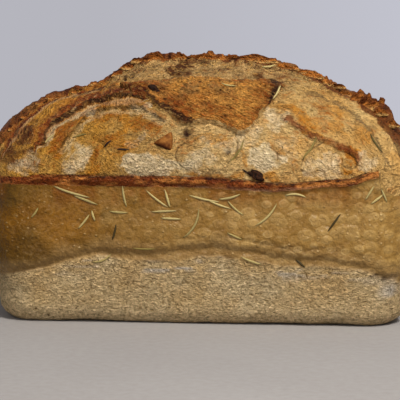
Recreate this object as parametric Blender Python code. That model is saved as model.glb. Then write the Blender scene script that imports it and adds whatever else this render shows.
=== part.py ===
"""Rosemary and garlic sourdough baked in a tin, as one closed solid with its needles fused on.

The loaf stands on its flat base. X runs along its length, the torn long side faces -Y and Z is up.
The skin is one net of rings: across the base, up the walls, over the torn lip and in to the ridge.
Tears, folds and bubbles are relief on that net, laid out in the front elevation (x, z).
"""

import math

import bmesh
import bpy
import numpy as np
from mathutils import Matrix, Vector
from mathutils.bvhtree import BVHTree

# Driving dimensions, in metres
BASE_HALF_LENGTH = 0.1112
BASE_HALF_WIDTH = 0.0555
RIM_HALF_LENGTH = 0.1142
RIM_HALF_WIDTH = 0.0615
BASE_CORNER = 0.024
RIM_CORNER = 0.027
BASE_ROUNDING = 0.011
LEDGE_HEIGHT = 0.0789
DOME_HEIGHT = 0.0630
RIDGE_HALF_LENGTH = 0.064
RIDGE_Y = 0.007
LEFT_REACH = 0.1147
RIGHT_REACH = 0.1109
WALL_BULGE = 0.0012

# The torn lip along the front: how far it runs, leans out and stands up
LIP_FROM_X = -0.0960
LIP_TO_X = 0.0950
LIP_LEAN = 0.0019
LIP_RISE = 0.0019

# Lines of the front elevation (x, z), left to right, each with its skin on the far or upper side
STRIP_EDGE = (
    (-0.0864, 0.0900), (-0.0854, 0.0977), (-0.0826, 0.1042), (-0.0769, 0.1104), (-0.0694, 0.1151), (-0.0590, 0.1199),
    (-0.0449, 0.1219), (-0.0335, 0.1212), (-0.0258, 0.1180),
)
FOLD_EDGE = (
    (-0.0795, 0.0887), (-0.0741, 0.0968), (-0.0683, 0.1051), (-0.0615, 0.1123), (-0.0485, 0.1165), (-0.0332, 0.1165),
    (-0.0234, 0.1120), (-0.0140, 0.1073),
)
RIGHT_EDGE = (
    (0.0402, 0.1134), (0.0466, 0.1105), (0.0519, 0.1065), (0.0583, 0.1024), (0.0652, 0.0999), (0.0730, 0.0970),
    (0.0792, 0.0941), (0.0824, 0.0895), (0.0841, 0.0853),
)
SKIN_ISLAND = (
    (-0.0444, 0.1276), (-0.0364, 0.1243), (-0.0280, 0.1202), (-0.0197, 0.1157), (-0.0116, 0.1116), (-0.0062, 0.1096),
    (0.0017, 0.1108), (0.0108, 0.1088), (0.0204, 0.1053), (0.0266, 0.1084), (0.0317, 0.1166), (0.0379, 0.1227),
    (0.0437, 0.1284), (0.0313, 0.1310), (0.0195, 0.1310), (-0.0020, 0.1319), (-0.0206, 0.1302), (-0.0338, 0.1285),
)
# The far rim of the tear, seen from above (x, y), left to right
RIM_LINE = (
    (-0.1128, -0.044), (-0.1010, -0.026), (-0.0850, -0.015), (-0.0576, -0.009), (-0.0350, -0.003), (0.0000, -0.002),
    (0.0380, -0.003), (0.0670, -0.008), (0.0860, -0.016), (0.1010, -0.028), (0.1105, -0.044),
)
RIM_STEP = 0.0034
# Points of torn crust that stand above the rim: (x, height, half-width)
RIM_TIPS = ((-0.0394, 0.0012, 0.0021), (-0.0298, 0.0029, 0.0058), (0.0173, 0.0010, 0.0086), (0.0576, 0.0015, 0.0038),
            (0.0950, 0.0040, 0.0048))
STRIP_STEP = 0.0028
FOLD_STEP = 0.0018
RIGHT_STEP = 0.0018
ISLAND_LIFT = 0.0030

# Gas bubbles in the open dough: (x, z, radius, height)
BUBBLES = (
    (0.0342, 0.0910, 0.0062, 0.0010), (0.0761, 0.0890, 0.0080, 0.0010), (0.0797, 0.0821, 0.0043, 0.0006),
    (0.0027, 0.0945, 0.0150, 0.0010), (-0.0326, 0.0862, 0.0106, 0.0010), (-0.0080, 0.0845, 0.0067, 0.0008),
    (0.0184, 0.0961, 0.0072, 0.0006), (0.0600, 0.0880, 0.0077, 0.0008), (-0.0661, 0.0901, 0.0086, 0.0009),
    (0.0686, 0.1096, 0.0115, 0.0008), (-0.0483, 0.1061, 0.0106, 0.0008),
)

# Small holes in the open dough: (x, z, radius, depth)
HOLES = ((-0.0077, 0.1038, 0.0026, 0.0028), (0.0143, 0.0938, 0.0016, 0.0016))
# The slit low on the right of the wall, in the front elevation
WALL_SLIT = ((0.0915, 0.0290), (0.0945, 0.0288), (0.0975, 0.0272), (0.0992, 0.0250))

# Rosemary: (x, z, turn in degrees, length, bend) of the needles that lead the eye, on the front
NEEDLES = (
    (-0.0682, 0.0707, -17, 0.0202, 0.12), (-0.0605, 0.0669, -20, 0.0134, 0.0), (-0.0614, 0.0554, 52, 0.0096, 0.1),
    (-0.0566, 0.0587, -72, 0.0058, 0.1), (-0.0403, 0.0693, -80, 0.0115, 0.12), (-0.0432, 0.0607, -4, 0.0096, 0.1),
    (-0.0451, 0.0501, 76, 0.0086, 0.2), (-0.0230, 0.0679, -38, 0.0144, 0.1), (-0.0173, 0.0683, -74, 0.0096, 0.0),
    (-0.0192, 0.0616, 3, 0.0134, 0.0), (-0.0154, 0.0578, -2, 0.0106, 0.0), (-0.0029, 0.0544, 62, 0.0182, 0.5),
    (0.0019, 0.0683, -12, 0.0163, 0.1), (0.0096, 0.0655, -20, 0.0134, 0.1), (0.0154, 0.0693, 14, 0.0115, 0.2),
    (0.0182, 0.0635, -42, 0.0115, 0.2), (0.0355, 0.0597, 47, 0.0163, 0.35), (0.0499, 0.0717, -4, 0.0115, -0.5),
    (0.0701, 0.0568, 55, 0.0115, 0.0), (0.0883, 0.0727, 60, 0.0086, 0.0), (0.0922, 0.0693, 38, 0.0077, 0.0),
    (0.0960, 0.0712, -65, 0.0077, 0.0), (-0.0298, 0.0415, -3, 0.0125, 0.1), (-0.0518, 0.0347, 24, 0.0115, 0.5),
    (0.0269, 0.0357, -20, 0.0115, 0.1), (0.0528, 0.0347, -42, 0.0067, 0.0), (0.0182, 0.0491, -24, 0.0086, 0.0),
    (-0.0874, 0.0597, 55, 0.0067, 0.2), (0.0192, 0.0923, 58, 0.0182, 0.5), (0.0576, 0.0947, 62, 0.0144, 0.4),
    (-0.0499, 0.0962, 55, 0.0058, 0.0), (-0.0413, 0.0933, -4, 0.0067, 0.0), (-0.0816, 0.0981, 60, 0.0077, 0.1),
    (0.0134, 0.1269, -12, 0.0086, 0.0), (0.0394, 0.1235, 52, 0.0096, 0.0), (0.0912, 0.0981, -62, 0.0134, 0.3),
    (0.0346, 0.1365, -2, 0.0096, 0.0), (-0.0653, 0.1000, 12, 0.0077, 0.0), (0.0240, 0.0823, -36, 0.0058, 0.0),
)
NEEDLE_RADIUS = 0.00058
BACK_NEEDLES = 14
NEEDLE_SEED = 11
# Scorched bits that stand out of the crust: (x, z, length, width, turn)
SCORCHED_BITS = ((-0.0269, 0.1255, 0.0060, 0.0042, -30), (0.0288, 0.0808, 0.0091, 0.0040, -28))
# The roasted wedge of garlic in the open dough: place (x, z), width, height and depth
GARLIC_PLACE = (-0.0206, 0.0976)
GARLIC_WIDTH = 0.0108
GARLIC_HEIGHT = 0.0088
GARLIC_DEPTH = 0.0062
FIT_GAP = 0.0003
SEAM_WELD = 0.000012

# The net that the skin is worked out on, and the triangles kept of it
FRONT_STEPS = 150
END_STEPS = 34
CORNER_STEPS = 8
SKIN_TRIANGLES = 7000


def smooth(t):
    """Runs from 0 to 1 as t does, flat at both ends."""
    t = np.clip(t, 0.0, 1.0)
    return t * t * (3.0 - 2.0 * t)


def hump(t):
    """A bell of height 1 and half-width 1."""
    return np.exp(-t * t)


def lattice_noise(x, y, z, size, seed):
    """Smooth noise from -1 to 1: random values on a cubic lattice of this size, blended between its corners."""
    x, y, z = np.broadcast_arrays(x, y, z)
    table = np.random.RandomState(seed).uniform(-1.0, 1.0, (32, 32, 32))
    cells = [np.floor(c / size).astype(int) for c in (x, y, z)]
    shares = [smooth(c / size - cell) for c, cell in zip((x, y, z), cells)]
    total = np.zeros_like(x)
    for corner in range(8):
        bits = (corner & 1, corner >> 1 & 1, corner >> 2 & 1)
        weight = np.ones_like(x)
        for bit, share in zip(bits, shares):
            weight = weight * (share if bit else 1.0 - share)
        index = [(cell + bit) % 32 for cell, bit in zip(cells, bits)]
        total += weight * table[index[0], index[1], index[2]]
    return total


def rough(x, y, z, size, seed, octaves=2):
    """Lattice noise with finer and weaker copies of itself added."""
    return sum(lattice_noise(x, y, z, size / 2**k, seed + k) / 2**k for k in range(octaves))


def through(points, steps=8, closed=False):
    """A Catmull-Rom curve through the points, as a fine polyline."""
    p = np.array(points, float)
    ends = (p[-1:], p[:2]) if closed else (2 * p[:1] - p[1:2], 2 * p[-1:] - p[-2:-1])
    p = np.concatenate([ends[0], p, ends[1]])
    t = np.linspace(0.0, 1.0, steps, endpoint=False)[:, None]
    runs = [
        0.5 * (2 * b + (c - a) * t + (2 * a - 5 * b + 4 * c - d) * t**2 + (3 * b - a - 3 * c + d) * t**3)
        for a, b, c, d in zip(p[:-3], p[1:-2], p[2:-1], p[3:])
    ]
    return np.concatenate([*runs, p[-2:-1]])


def beside(u, v, line):
    """Signed distance from a polyline, positive on its left, and how much of the line is passed at the nearest point."""
    best = np.full(u.shape, 1e9)
    signed, along = np.zeros(u.shape), np.zeros(u.shape)
    spans = np.linalg.norm(np.diff(line, axis=0), axis=1)
    starts = np.concatenate([[0.0], np.cumsum(spans)])
    for (au, av), (bu, bv), span, start in zip(line[:-1], line[1:], spans, starts):
        du, dv = (bu - au) / span, (bv - av) / span
        t = np.clip((u - au) * du + (v - av) * dv, 0.0, span)
        qu, qv = u - au - t * du, v - av - t * dv
        near = qu * qu + qv * qv
        closer = near < best
        best = np.where(closer, near, best)
        signed = np.where(closer, np.sign(du * qv - dv * qu) * np.sqrt(near), signed)
        along = np.where(closer, (start + t) / starts[-1], along)
    return signed, along


def torn_edge(f, lift, fall, width):
    """Height of torn skin: lift at f = 0, sinking away over fall behind it and dropping within width before it."""
    behind = np.exp(-np.maximum(f, 0.0) / fall)
    before = smooth(1.0 + f / width)
    return lift * np.where(f > 0.0, behind, before) - 0.25 * lift * hump((f + 1.5 * width) / width)


def ring_steps():
    """Each ring's points as (ex, ey, phi): the place along the straight sides and the way the skin faces there."""
    side = np.linspace(-1.0, 1.0, FRONT_STEPS, endpoint=False)
    end = np.linspace(-1.0, 1.0, END_STEPS, endpoint=False)
    turn = np.linspace(0.0, math.pi / 2, CORNER_STEPS, endpoint=False)
    one_side, one_end, one_turn = np.ones(FRONT_STEPS), np.ones(END_STEPS), np.ones(CORNER_STEPS)
    quarter = math.pi / 2
    parts = (
        (side, -one_side, -quarter * one_side), (one_turn, -one_turn, turn - quarter),
        (one_end, end, 0 * one_end), (one_turn, one_turn, turn),
        (-side, one_side, quarter * one_side), (-one_turn, one_turn, turn + quarter),
        (-one_end, -end, 2 * quarter * one_end), (-one_turn, -one_turn, turn + 2 * quarter),
    )
    return [np.concatenate([part[i] for part in parts]) for i in range(3)]


def ledge_height(x):
    """The ledge sags right of the middle and lifts where it ends, at the right."""
    return LEDGE_HEIGHT - 0.0030 * hump((x - 0.042) / 0.025) + 0.0046 * smooth((x - 0.077) / 0.017)


def ridge_height(x):
    """Height of the dome above the ledge along the ridge: full to its ends, with a low left and right shoulder."""
    u = np.clip(np.abs(x) / np.where(x < 0.0, LEFT_REACH, RIGHT_REACH), 0.0, 1.0)
    left = 0.19 * smooth((-x - 0.029) / 0.036) * smooth((x + 0.120) / 0.024)
    right = 0.20 * smooth((x - 0.024) / 0.075)
    return DOME_HEIGHT * (1.0 - u**3.2) ** 0.4 * (1.0 - left - right)


def dome_height(x, y):
    """Height of the dome above the ledge: the ridge's height, falling off to both sides."""
    over = np.clip(np.abs(x) - (RIM_HALF_LENGTH - RIM_CORNER), 0.0, RIM_CORNER)
    half_width = RIM_HALF_WIDTH - RIM_CORNER + np.sqrt(RIM_CORNER**2 - over**2)
    front = np.clip((RIDGE_Y - y) / (half_width + RIDGE_Y), 0.0, 1.0)
    back = np.clip((y - RIDGE_Y) / (half_width - RIDGE_Y), 0.0, 1.0)
    return ridge_height(x) * (1.0 - front**2.2) ** 0.62 * (1.0 - back**2.6) ** 0.5


def front_share(x, y):
    """1 where the front lip runs, 0 elsewhere, easing out at both of its ends."""
    along = smooth((x - LIP_FROM_X) / 0.012) * smooth((LIP_TO_X - x) / 0.003)
    return along * smooth((-y - 0.040) / 0.012)


def ring(ex, ey, phi, half_length, half_width, corner, y0=0.0):
    """A rounded rectangle of that half-length, half-width and corner radius."""
    x = ex * (half_length - corner) + corner * np.cos(phi)
    y = y0 + ey * (half_width - corner) + corner * np.sin(phi)
    return x, y


def plain_skin(base_rows=5, wall_rows=44, lip_rows=7, dome_rows=66):
    """The loaf with no relief: arrays x, y, z of ring rows from the middle of the base to the ridge."""
    ex, ey, phi = ring_steps()
    rows = []
    for t in np.linspace(1.0, 0.0, base_rows, endpoint=False):
        half_width = (1.0 - t) * (BASE_HALF_WIDTH - BASE_ROUNDING)
        half_length = BASE_HALF_LENGTH - BASE_ROUNDING - t * (BASE_HALF_WIDTH - BASE_ROUNDING)
        x, y = ring(ex, ey, phi, half_length, half_width, (1.0 - t) * (BASE_CORNER - BASE_ROUNDING))
        rows.append((x, y, np.zeros_like(x)))
    for angle in np.linspace(0.0, math.pi / 2, 7):
        out = BASE_ROUNDING * (1.0 - math.sin(angle))
        x, y = ring(ex, ey, phi, BASE_HALF_LENGTH - out, BASE_HALF_WIDTH - out, BASE_CORNER - out)
        rows.append((x, y, np.full_like(x, BASE_ROUNDING * (1.0 - math.cos(angle)))))
    for t in np.linspace(0.0, 1.0, wall_rows + 1)[1:-1]:
        bulge = WALL_BULGE * math.sin(math.pi * t)
        x, y = ring(
            ex, ey, phi,
            BASE_HALF_LENGTH + t * (RIM_HALF_LENGTH - BASE_HALF_LENGTH) + bulge,
            BASE_HALF_WIDTH + t * (RIM_HALF_WIDTH - BASE_HALF_WIDTH) + bulge,
            BASE_CORNER + t * (RIM_CORNER - BASE_CORNER),
        )
        rows.append((x, y, BASE_ROUNDING + t * (ledge_height(x) - 0.0045 - BASE_ROUNDING)))
    walls = [np.array([row[i] for row in rows]) for i in range(3)]
    return [np.concatenate(pair) for pair in zip(walls, lip_and_dome(ex, ey, phi, lip_rows, dome_rows))]


def lip_and_dome(ex, ey, phi, lip_rows, dome_rows):
    """Rows over the torn lip and on to the ridge. The lip leans out, folds over and drops to a pocket behind it."""
    x0, y0 = ring(ex, ey, phi, RIM_HALF_LENGTH, RIM_HALF_WIDTH, RIM_CORNER)
    nx, ny = np.cos(phi), np.sin(phi)
    share = front_share(x0, y0)
    ledge = ledge_height(x0)
    # Insets are spread evenly over the arc of the section, which starts upright and ends level
    steps = np.arange(lip_rows + dome_rows)[:, None]
    all_round = 1.0 - np.cos(steps / steps[-1] * math.pi / 2) ** 0.9
    past_lip = np.clip((steps - lip_rows + 1) / dome_rows, 0.0, 1.0)
    behind_lip = 1.0 - np.cos(past_lip * math.pi / 2) ** 0.9
    w = all_round + share * (behind_lip - all_round)
    w[-1] = 1.0
    half_length = RIM_HALF_LENGTH - w * (RIM_HALF_LENGTH - RIDGE_HALF_LENGTH)
    x, y = ring(ex, ey, phi, half_length, RIM_HALF_WIDTH * (1.0 - w), RIM_CORNER * (1.0 - w), w * RIDGE_Y)
    z = ledge + (LEDGE_HEIGHT - ledge) * smooth(w) + dome_height(x, y)
    z -= (1.0 - share) * 0.0045 * (1.0 - smooth(steps / (0.05 * steps[-1])))
    z -= share * 0.5 * LIP_RISE * (1.0 - smooth(w / 0.01))
    set_back = 1.9 * LIP_LEAN * share * (1.0 - w) ** 3
    x, y = x - nx * set_back, y - ny * set_back
    lip = through(((0.0, -1.5), (1.0, -0.2), (0.9, 1.0), (0.1, 0.93), (-1.0, 0.0), (-1.9, -0.5)), 12)
    lip = lip[np.linspace(0, len(lip) - 1, lip_rows).astype(int)]
    torn = 1.0 + 0.35 * rough(x0, 0 * x0, 0 * x0, 0.007, 67, 2)
    out, up = lip[:, :1] * LIP_LEAN * torn, lip[:, 1:] * LIP_RISE * torn
    for plain, lipped in ((x, x0 + nx * out), (y, y0 + ny * out), (z, ledge + up)):
        plain[:lip_rows] += share * (lipped - plain[:lip_rows])
    return x, y, z


def net_normals(x, y, z):
    """Unit normals of the net, from the steps to the neighbours along and across the rings."""
    points = np.stack([x, y, z], -1)
    across = np.roll(points, -1, axis=1) - np.roll(points, 1, axis=1)
    up = np.gradient(points, axis=0)
    normal = np.cross(across, up)
    length = np.linalg.norm(normal, axis=-1, keepdims=True)
    return normal / np.maximum(length, 1e-12)


def relief(x, y, z, finest=0.0022):
    """How far the skin stands out, and how far it is drawn down over a tear, at each point of the net."""
    out = 0.0008 * rough(x, y, z, 0.030, 3)
    down = np.zeros_like(x)
    ragged = 0.0010 * rough(x, y, z, 0.0055, 7, 3)
    rim, along = beside(x, y, through(RIM_LINE))
    rim_ends = smooth(along / 0.06) * smooth((1.0 - along) / 0.06)
    tips = sum(tip * hump((x - at) / half) for at, tip, half in RIM_TIPS)
    lift = RIM_STEP * (1.0 + 0.30 * rough(x, 0 * y, 0 * z, 0.0065, 21, 2)) + tips
    above = smooth((z - 0.086) / 0.012)
    out += torn_edge(rim + ragged, np.maximum(lift, 0.0012) * rim_ends * above, 0.009, finest)
    down += 0.0012 * hump((rim + ragged) / finest) * rim_ends * above
    # The browned edge of the skin reaches down in front of the rim and ends in a lower step
    band = 0.0022 + 0.0045 * smooth((x + 0.055) / 0.03) + 0.0030 * smooth((x - 0.045) / 0.02)
    band = band + 0.0020 * rough(x, 0 * y, 0 * z, 0.008, 27, 2)
    out += torn_edge(rim + band + ragged, 0.0016 * rim_ends * above, 0.003, finest)

    tear = smooth(-rim / 0.004) * smooth((z - ledge_height(x) - 0.001) / 0.003)
    tears = ((STRIP_EDGE, STRIP_STEP, 0.007), (FOLD_EDGE, FOLD_STEP, 0.006), (RIGHT_EDGE, RIGHT_STEP, 0.010))
    for line, step, fall in tears:
        edge, along = beside(x, z, through(line))
        ends = smooth(along / 0.12) * smooth((1.0 - along) / 0.12) * hump(edge / 0.020)
        out += torn_edge(edge + ragged, step * ends * tear, fall, finest)
        down += 0.0006 * hump((edge + ragged) / finest) * ends * tear
    island, _ = beside(x, z, through(SKIN_ISLAND, closed=True))
    island = island + 0.7 * ragged
    upper = smooth((0.1365 - z) / 0.006) * tear
    curl = 0.55 + 0.45 * np.exp(-np.maximum(island, 0.0) / 0.005)
    out += ISLAND_LIFT * upper * (smooth(1.0 + island / finest) * curl - 0.3 * hump((island + 2 * finest) / finest))
    down += 0.0012 * upper * hump(island / finest)
    for bx, bz, radius, height in BUBBLES:
        r = np.hypot(x - bx, z - bz) / radius
        out += tear * height * (np.clip(1.0 - r * r, 0.0, 1.0) ** 1.5 - 0.25 * hump((r - 1.05) / 0.2))
    for hx, hz, radius, depth in HOLES:
        out -= tear * depth * hump(np.hypot(x - hx, z - hz) / radius) ** 2
    out += tear * 0.0009 * rough(x, y, z, 0.012, 31)
    out += (1.0 - tear) * 0.0004 * rough(x, y, z, 0.009, 41)
    slit = np.abs(beside(x, z, through(WALL_SLIT))[0]) + 0.05 * smooth((y + 0.030) / 0.01)
    out += wall_folds(x, y, z) - 0.0010 * hump(slit / 0.0014)
    on_base = z < 1e-6
    for field in (out, down):
        field[on_base] = 0.0
    return out, down


def tin_line(x, y):
    """Height on the wall up to which the dough lay against the tin: highest in the middle of each side."""
    wave = 0.0012 * np.sin(x / 0.011 + 0.7) + 0.0015 * np.sin(y / 0.013)
    return 0.0395 - 0.0165 * np.clip(np.abs(x) / RIM_HALF_LENGTH, 0, 1) ** 2 + wave


def wall_folds(x, y, z):
    """The wall swells softly above the tin line, with two creases running along it."""
    height = z - tin_line(x, y)
    swell = 0.0015 * smooth(height / 0.005) * smooth((0.066 - z) / 0.02)
    creases = -0.0007 * hump(height / 0.0016) - 0.0008 * hump((height - 0.0065) / 0.0015) * smooth(0.5 + x / 0.1)
    return (swell + creases) * smooth((z - 0.004) / 0.008)


def skin_mesh():
    """The net with its relief, closed along the base's and the dome's middle lines, as a Blender mesh."""
    x, y, z = plain_skin()
    out, down = relief(x, y, z)
    normal = net_normals(x, y, z)
    normal[-1] = (0.0, 0.0, 1.0)
    points = np.stack([x, y, z], -1) + normal * out[..., None]
    points[..., 2] -= down
    rows, count = x.shape
    index = np.arange(rows * count).reshape(rows, count)
    ahead = np.roll(index, -1, axis=1)
    faces = np.stack([index[:-1], ahead[:-1], ahead[1:], index[1:]], -1).reshape(-1, 4)
    mesh = bpy.data.meshes.new("loaf")
    mesh.from_pydata(points.reshape(-1, 3).tolist(), [], faces.tolist())
    net = bmesh.new()
    net.from_mesh(mesh)
    middle_lines = [v for v in net.verts if v.index < count or v.index >= (rows - 1) * count]
    for v in middle_lines:
        v.co.y = 0.0 if v.index < count else RIDGE_Y
    bmesh.ops.remove_doubles(net, verts=middle_lines, dist=2e-5)
    bmesh.ops.dissolve_degenerate(net, edges=net.edges, dist=1e-6)
    bmesh.ops.triangulate(net, faces=net.faces)
    bmesh.ops.recalc_face_normals(net, faces=net.faces)
    net.to_mesh(mesh)
    net.free()
    return mesh


def put(name, mesh, material):
    obj = bpy.data.objects.new(name, mesh)
    bpy.context.scene.collection.objects.link(obj)
    mesh.materials.clear()
    mesh.materials.append(material)
    return obj


def apply_modifiers(obj):
    """Makes the object's evaluated mesh its own."""
    graph = bpy.context.evaluated_depsgraph_get()
    mesh = bpy.data.meshes.new_from_object(obj.evaluated_get(graph))
    obj.modifiers.clear()
    obj.data = mesh


def surface_of(obj):
    """A tree over the object's triangles, to find the skin under a needle."""
    net = bmesh.new()
    net.from_mesh(obj.data)
    tree = BVHTree.FromBMesh(net)
    net.free()
    return tree


def on_front(tree, x, z):
    """The point and normal of the skin at (x, z) of the front elevation."""
    point, normal, _, _ = tree.ray_cast(Vector((x, -0.2, z)), Vector((0.0, 1.0, 0.0)))
    return point, normal


def along_skin(tree, point, normal, turn, length, bend, steps):
    """Points of a curve of that length on the skin, through point, turned from level and bending as it goes."""
    level = Vector((0.0, 0.0, 1.0)).cross(normal)
    level = level.normalized() if level.length > 0.05 else Vector((1.0, 0.0, 0.0))
    upright = normal.cross(level)
    found = []
    for step in range(steps + 1):
        t = step / steps - 0.5
        angle = math.radians(turn) + bend * t
        flat = point + length * t * (math.cos(angle) * level + math.sin(angle) * upright)
        near, facing, _, _ = tree.find_nearest(flat)
        found.append((near, facing))
    return found


def needle(path, radius):
    """A four-sided needle pointed at both ends, along (point, normal) pairs, sunk to its middle."""
    net = bmesh.new()
    last = len(path) - 1
    loops = []
    for step, (point, facing) in enumerate(path):
        if step in (0, last):
            loops.append([net.verts.new(point + facing * 0.2 * radius)])
            continue
        ahead = (path[step + 1][0] - path[step - 1][0]).normalized()
        across = ahead.cross(facing).normalized()
        centre = point + facing * 0.35 * radius
        corners = ((across, 1.0), (facing, 0.9), (across, -1.0), (facing, -1.3))
        loops.append([net.verts.new(centre + way * share * radius) for way, share in corners])
    for low, high in zip(loops[:-1], loops[1:]):
        for k in range(4):
            corners = [low[k % len(low)], low[(k + 1) % len(low)], high[(k + 1) % len(high)], high[k % len(high)]]
            net.faces.new(dict.fromkeys(corners))
    bmesh.ops.triangulate(net, faces=net.faces)
    bmesh.ops.recalc_face_normals(net, faces=net.faces)
    return net


def lump(tree, x, z, length, width, turn, seed, height=0.0016):
    """A scorched bit: a rough low stone half sunk in the skin."""
    point, facing = on_front(tree, x, z)
    level = Vector((0.0, 0.0, 1.0)).cross(facing).normalized()
    frame = Matrix((level, facing.cross(level), facing)).transposed() @ Matrix.Rotation(math.radians(turn), 3, "Z")
    net = bmesh.new()
    bmesh.ops.create_icosphere(net, subdivisions=2, radius=1.0)
    draw = np.random.RandomState(seed)
    for v in net.verts:
        v.co *= 1.0 + draw.uniform(-0.16, 0.16)
        v.co = point + frame @ Vector((v.co.x * length / 2, v.co.y * width / 2, v.co.z * height))
    bmesh.ops.recalc_face_normals(net, faces=net.faces)
    return net


def hidden_needles(tree):
    """Seeded places for needles where the photographed side ends: the back, the ends and the top."""
    draw = np.random.RandomState(NEEDLE_SEED)
    places = []
    while len(places) < BACK_NEEDLES:
        angle = draw.uniform(-0.15, math.pi + 0.15)
        start = Vector((0.3 * math.cos(angle), 0.3 * math.sin(angle), draw.uniform(0.045, 0.23)))
        aim = Vector((0.085 * math.cos(angle), 0.02 * math.sin(angle), draw.uniform(0.05, 0.10)))
        point, facing, _, _ = tree.ray_cast(start, (aim - start).normalized())
        turn, length, bend = draw.uniform(-90, 90), draw.uniform(0.008, 0.016), draw.uniform(-0.5, 0.5)
        if point is not None and abs(point.x) < 0.112 and all((point - other[0]).length > 0.012 for other in places):
            places.append((point, facing, turn, length, bend))
    return places


def clean_seams(obj):
    """Welds the hair-thin slivers that the unions leave where toppings meet the skin."""
    net = bmesh.new()
    net.from_mesh(obj.data)
    bmesh.ops.triangulate(net, faces=net.faces)
    bmesh.ops.remove_doubles(net, verts=net.verts, dist=SEAM_WELD)
    bmesh.ops.dissolve_degenerate(net, edges=net.edges, dist=SEAM_WELD)
    bmesh.ops.triangulate(net, faces=net.faces)
    net.to_mesh(obj.data)
    net.free()


def fuse_toppings(loaf, material):
    """Joins the needles and scorched bits to the loaf by one Boolean union on their collection."""
    tree = surface_of(loaf)
    toppings = bpy.data.collections.new("toppings")
    bpy.context.scene.collection.children.link(toppings)
    nets = [lump(tree, *bit, seed=k) for k, bit in enumerate(SCORCHED_BITS)]
    places = [(*on_front(tree, x, z), turn, length, bend) for x, z, turn, length, bend in NEEDLES]
    for point, facing, turn, length, bend in places + hidden_needles(tree):
        steps = 4 if length < 0.012 else 5
        nets.append(needle(along_skin(tree, point, facing, turn, length, bend, steps), NEEDLE_RADIUS))
    for k, net in enumerate(nets):
        mesh = bpy.data.meshes.new(f"topping_{k}")
        net.to_mesh(mesh)
        net.free()
        mesh.materials.append(material)
        obj = bpy.data.objects.new(mesh.name, mesh)
        toppings.objects.link(obj)
    union = loaf.modifiers.new("fuse_toppings", "BOOLEAN")
    union.operation, union.operand_type, union.collection = "UNION", "COLLECTION", toppings
    union.solver = "EXACT"
    apply_modifiers(loaf)
    for obj in list(toppings.objects):
        bpy.data.objects.remove(obj)
    bpy.data.collections.remove(toppings)
    clean_seams(loaf)


def garlic_net(tree, grow):
    """The wedge of garlic: three rounded sides meeting at a point on the left, thicker to the right."""
    point, facing = on_front(tree, *GARLIC_PLACE)
    facing = (facing + Vector((0.0, -0.8, 0.25))).normalized()
    level = Vector((0.0, 0.0, 1.0)).cross(facing).normalized()
    frame = Matrix((level, facing.cross(level), facing)).transposed()
    net = bmesh.new()
    bmesh.ops.create_icosphere(net, subdivisions=3, radius=1.0)
    for v in net.verts:
        across, up, forth = v.co
        # The right end is blunt, and the wedge runs to its point along the rest
        across = 0.45 + 0.25 * (across - 0.45) if across > 0.45 else across
        across = 1.265 * across + 0.265
        taper = 0.10 + 0.65 * (across + 1.0)
        up = math.copysign(abs(up) ** 0.8, up)
        lean = 0.15 * across
        size = (GARLIC_WIDTH / 2 + grow, GARLIC_HEIGHT / 2 + grow, GARLIC_DEPTH / 2 + grow)
        flat = Vector((across * size[0], (up * taper + lean) * size[1], forth * size[2]))
        v.co = point - facing * GARLIC_DEPTH * 0.16 + frame @ flat
    bmesh.ops.recalc_face_normals(net, faces=net.faces)
    return net


def seat_garlic(loaf, tree, material):
    """Cuts a pocket for the wedge out of the dough and puts the wedge in it, a fit gap clear all round."""
    mesh = bpy.data.meshes.new("garlic_pocket")
    net = garlic_net(tree, FIT_GAP)
    net.to_mesh(mesh)
    net.free()
    pocket = bpy.data.objects.new("garlic_pocket", mesh)
    bpy.context.scene.collection.objects.link(pocket)
    pocket.hide_render, pocket.display_type = True, "WIRE"
    cut = loaf.modifiers.new("garlic_pocket", "BOOLEAN")
    cut.operation, cut.object, cut.solver = "DIFFERENCE", pocket, "EXACT"
    apply_modifiers(loaf)
    bpy.data.objects.remove(pocket)
    wedge = bpy.data.meshes.new("garlic_wedge")
    net = garlic_net(tree, 0.0)
    net.to_mesh(wedge)
    net.free()
    return put("garlic_wedge", wedge, material)


def principled(name, colour, roughness):
    material = bpy.data.materials.new(name)
    material.use_nodes = True
    shader = material.node_tree.nodes["Principled BSDF"]
    shader.inputs["Base Color"].default_value = (*colour, 1.0)
    shader.inputs["Roughness"].default_value = roughness
    shader.inputs["Metallic"].default_value = 0.0
    return material


def shade(obj):
    """Smooth shading, with the torn edges and the needles left crisp."""
    obj.data.shade_smooth()
    obj.data.set_sharp_from_angle(angle=math.radians(42))


def settle(loaf, others):
    """Flattens the base to z = 0 and centres everything over the middle of the loaf's own box."""
    for v in loaf.data.vertices:
        if v.co.z < 2e-4:
            v.co.z = 0.0
    points = np.array([v.co for v in loaf.data.vertices])
    middle = (points.min(0) + points.max(0)) / 2
    shift = Matrix.Translation((-middle[0], -middle[1], 0.0))
    for obj in (loaf, *others):
        obj.data.transform(shift)
        obj.data.update()


def main():
    for obj in list(bpy.data.objects):
        bpy.data.objects.remove(obj)
    crust = principled("crust", (0.42, 0.24, 0.09), 0.62)
    herb = principled("rosemary", (0.36, 0.33, 0.14), 0.7)
    garlic = principled("roasted_garlic", (0.36, 0.15, 0.05), 0.45)
    loaf = put("loaf", skin_mesh(), crust)
    thin = loaf.modifiers.new("fewer_triangles", "DECIMATE")
    thin.ratio = SKIN_TRIANGLES / len(loaf.data.polygons)
    thin.use_collapse_triangulate = True
    apply_modifiers(loaf)
    tree = surface_of(loaf)
    wedge = seat_garlic(loaf, tree, garlic)
    fuse_toppings(loaf, herb)
    settle(loaf, [wedge])
    shade(loaf)
    shade(wedge)


if __name__ == "__main__":
    main()
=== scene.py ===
"""A rosemary and garlic sourdough from a long tin, dressed for its portrait.

The skin is one net of rings, as in the solids: across the base, up the walls, over the torn lip and in to
the ridge. Here it is finer, and each of its points also gets the colour and the texture of its crust.
"""

import math
from types import SimpleNamespace

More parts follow.
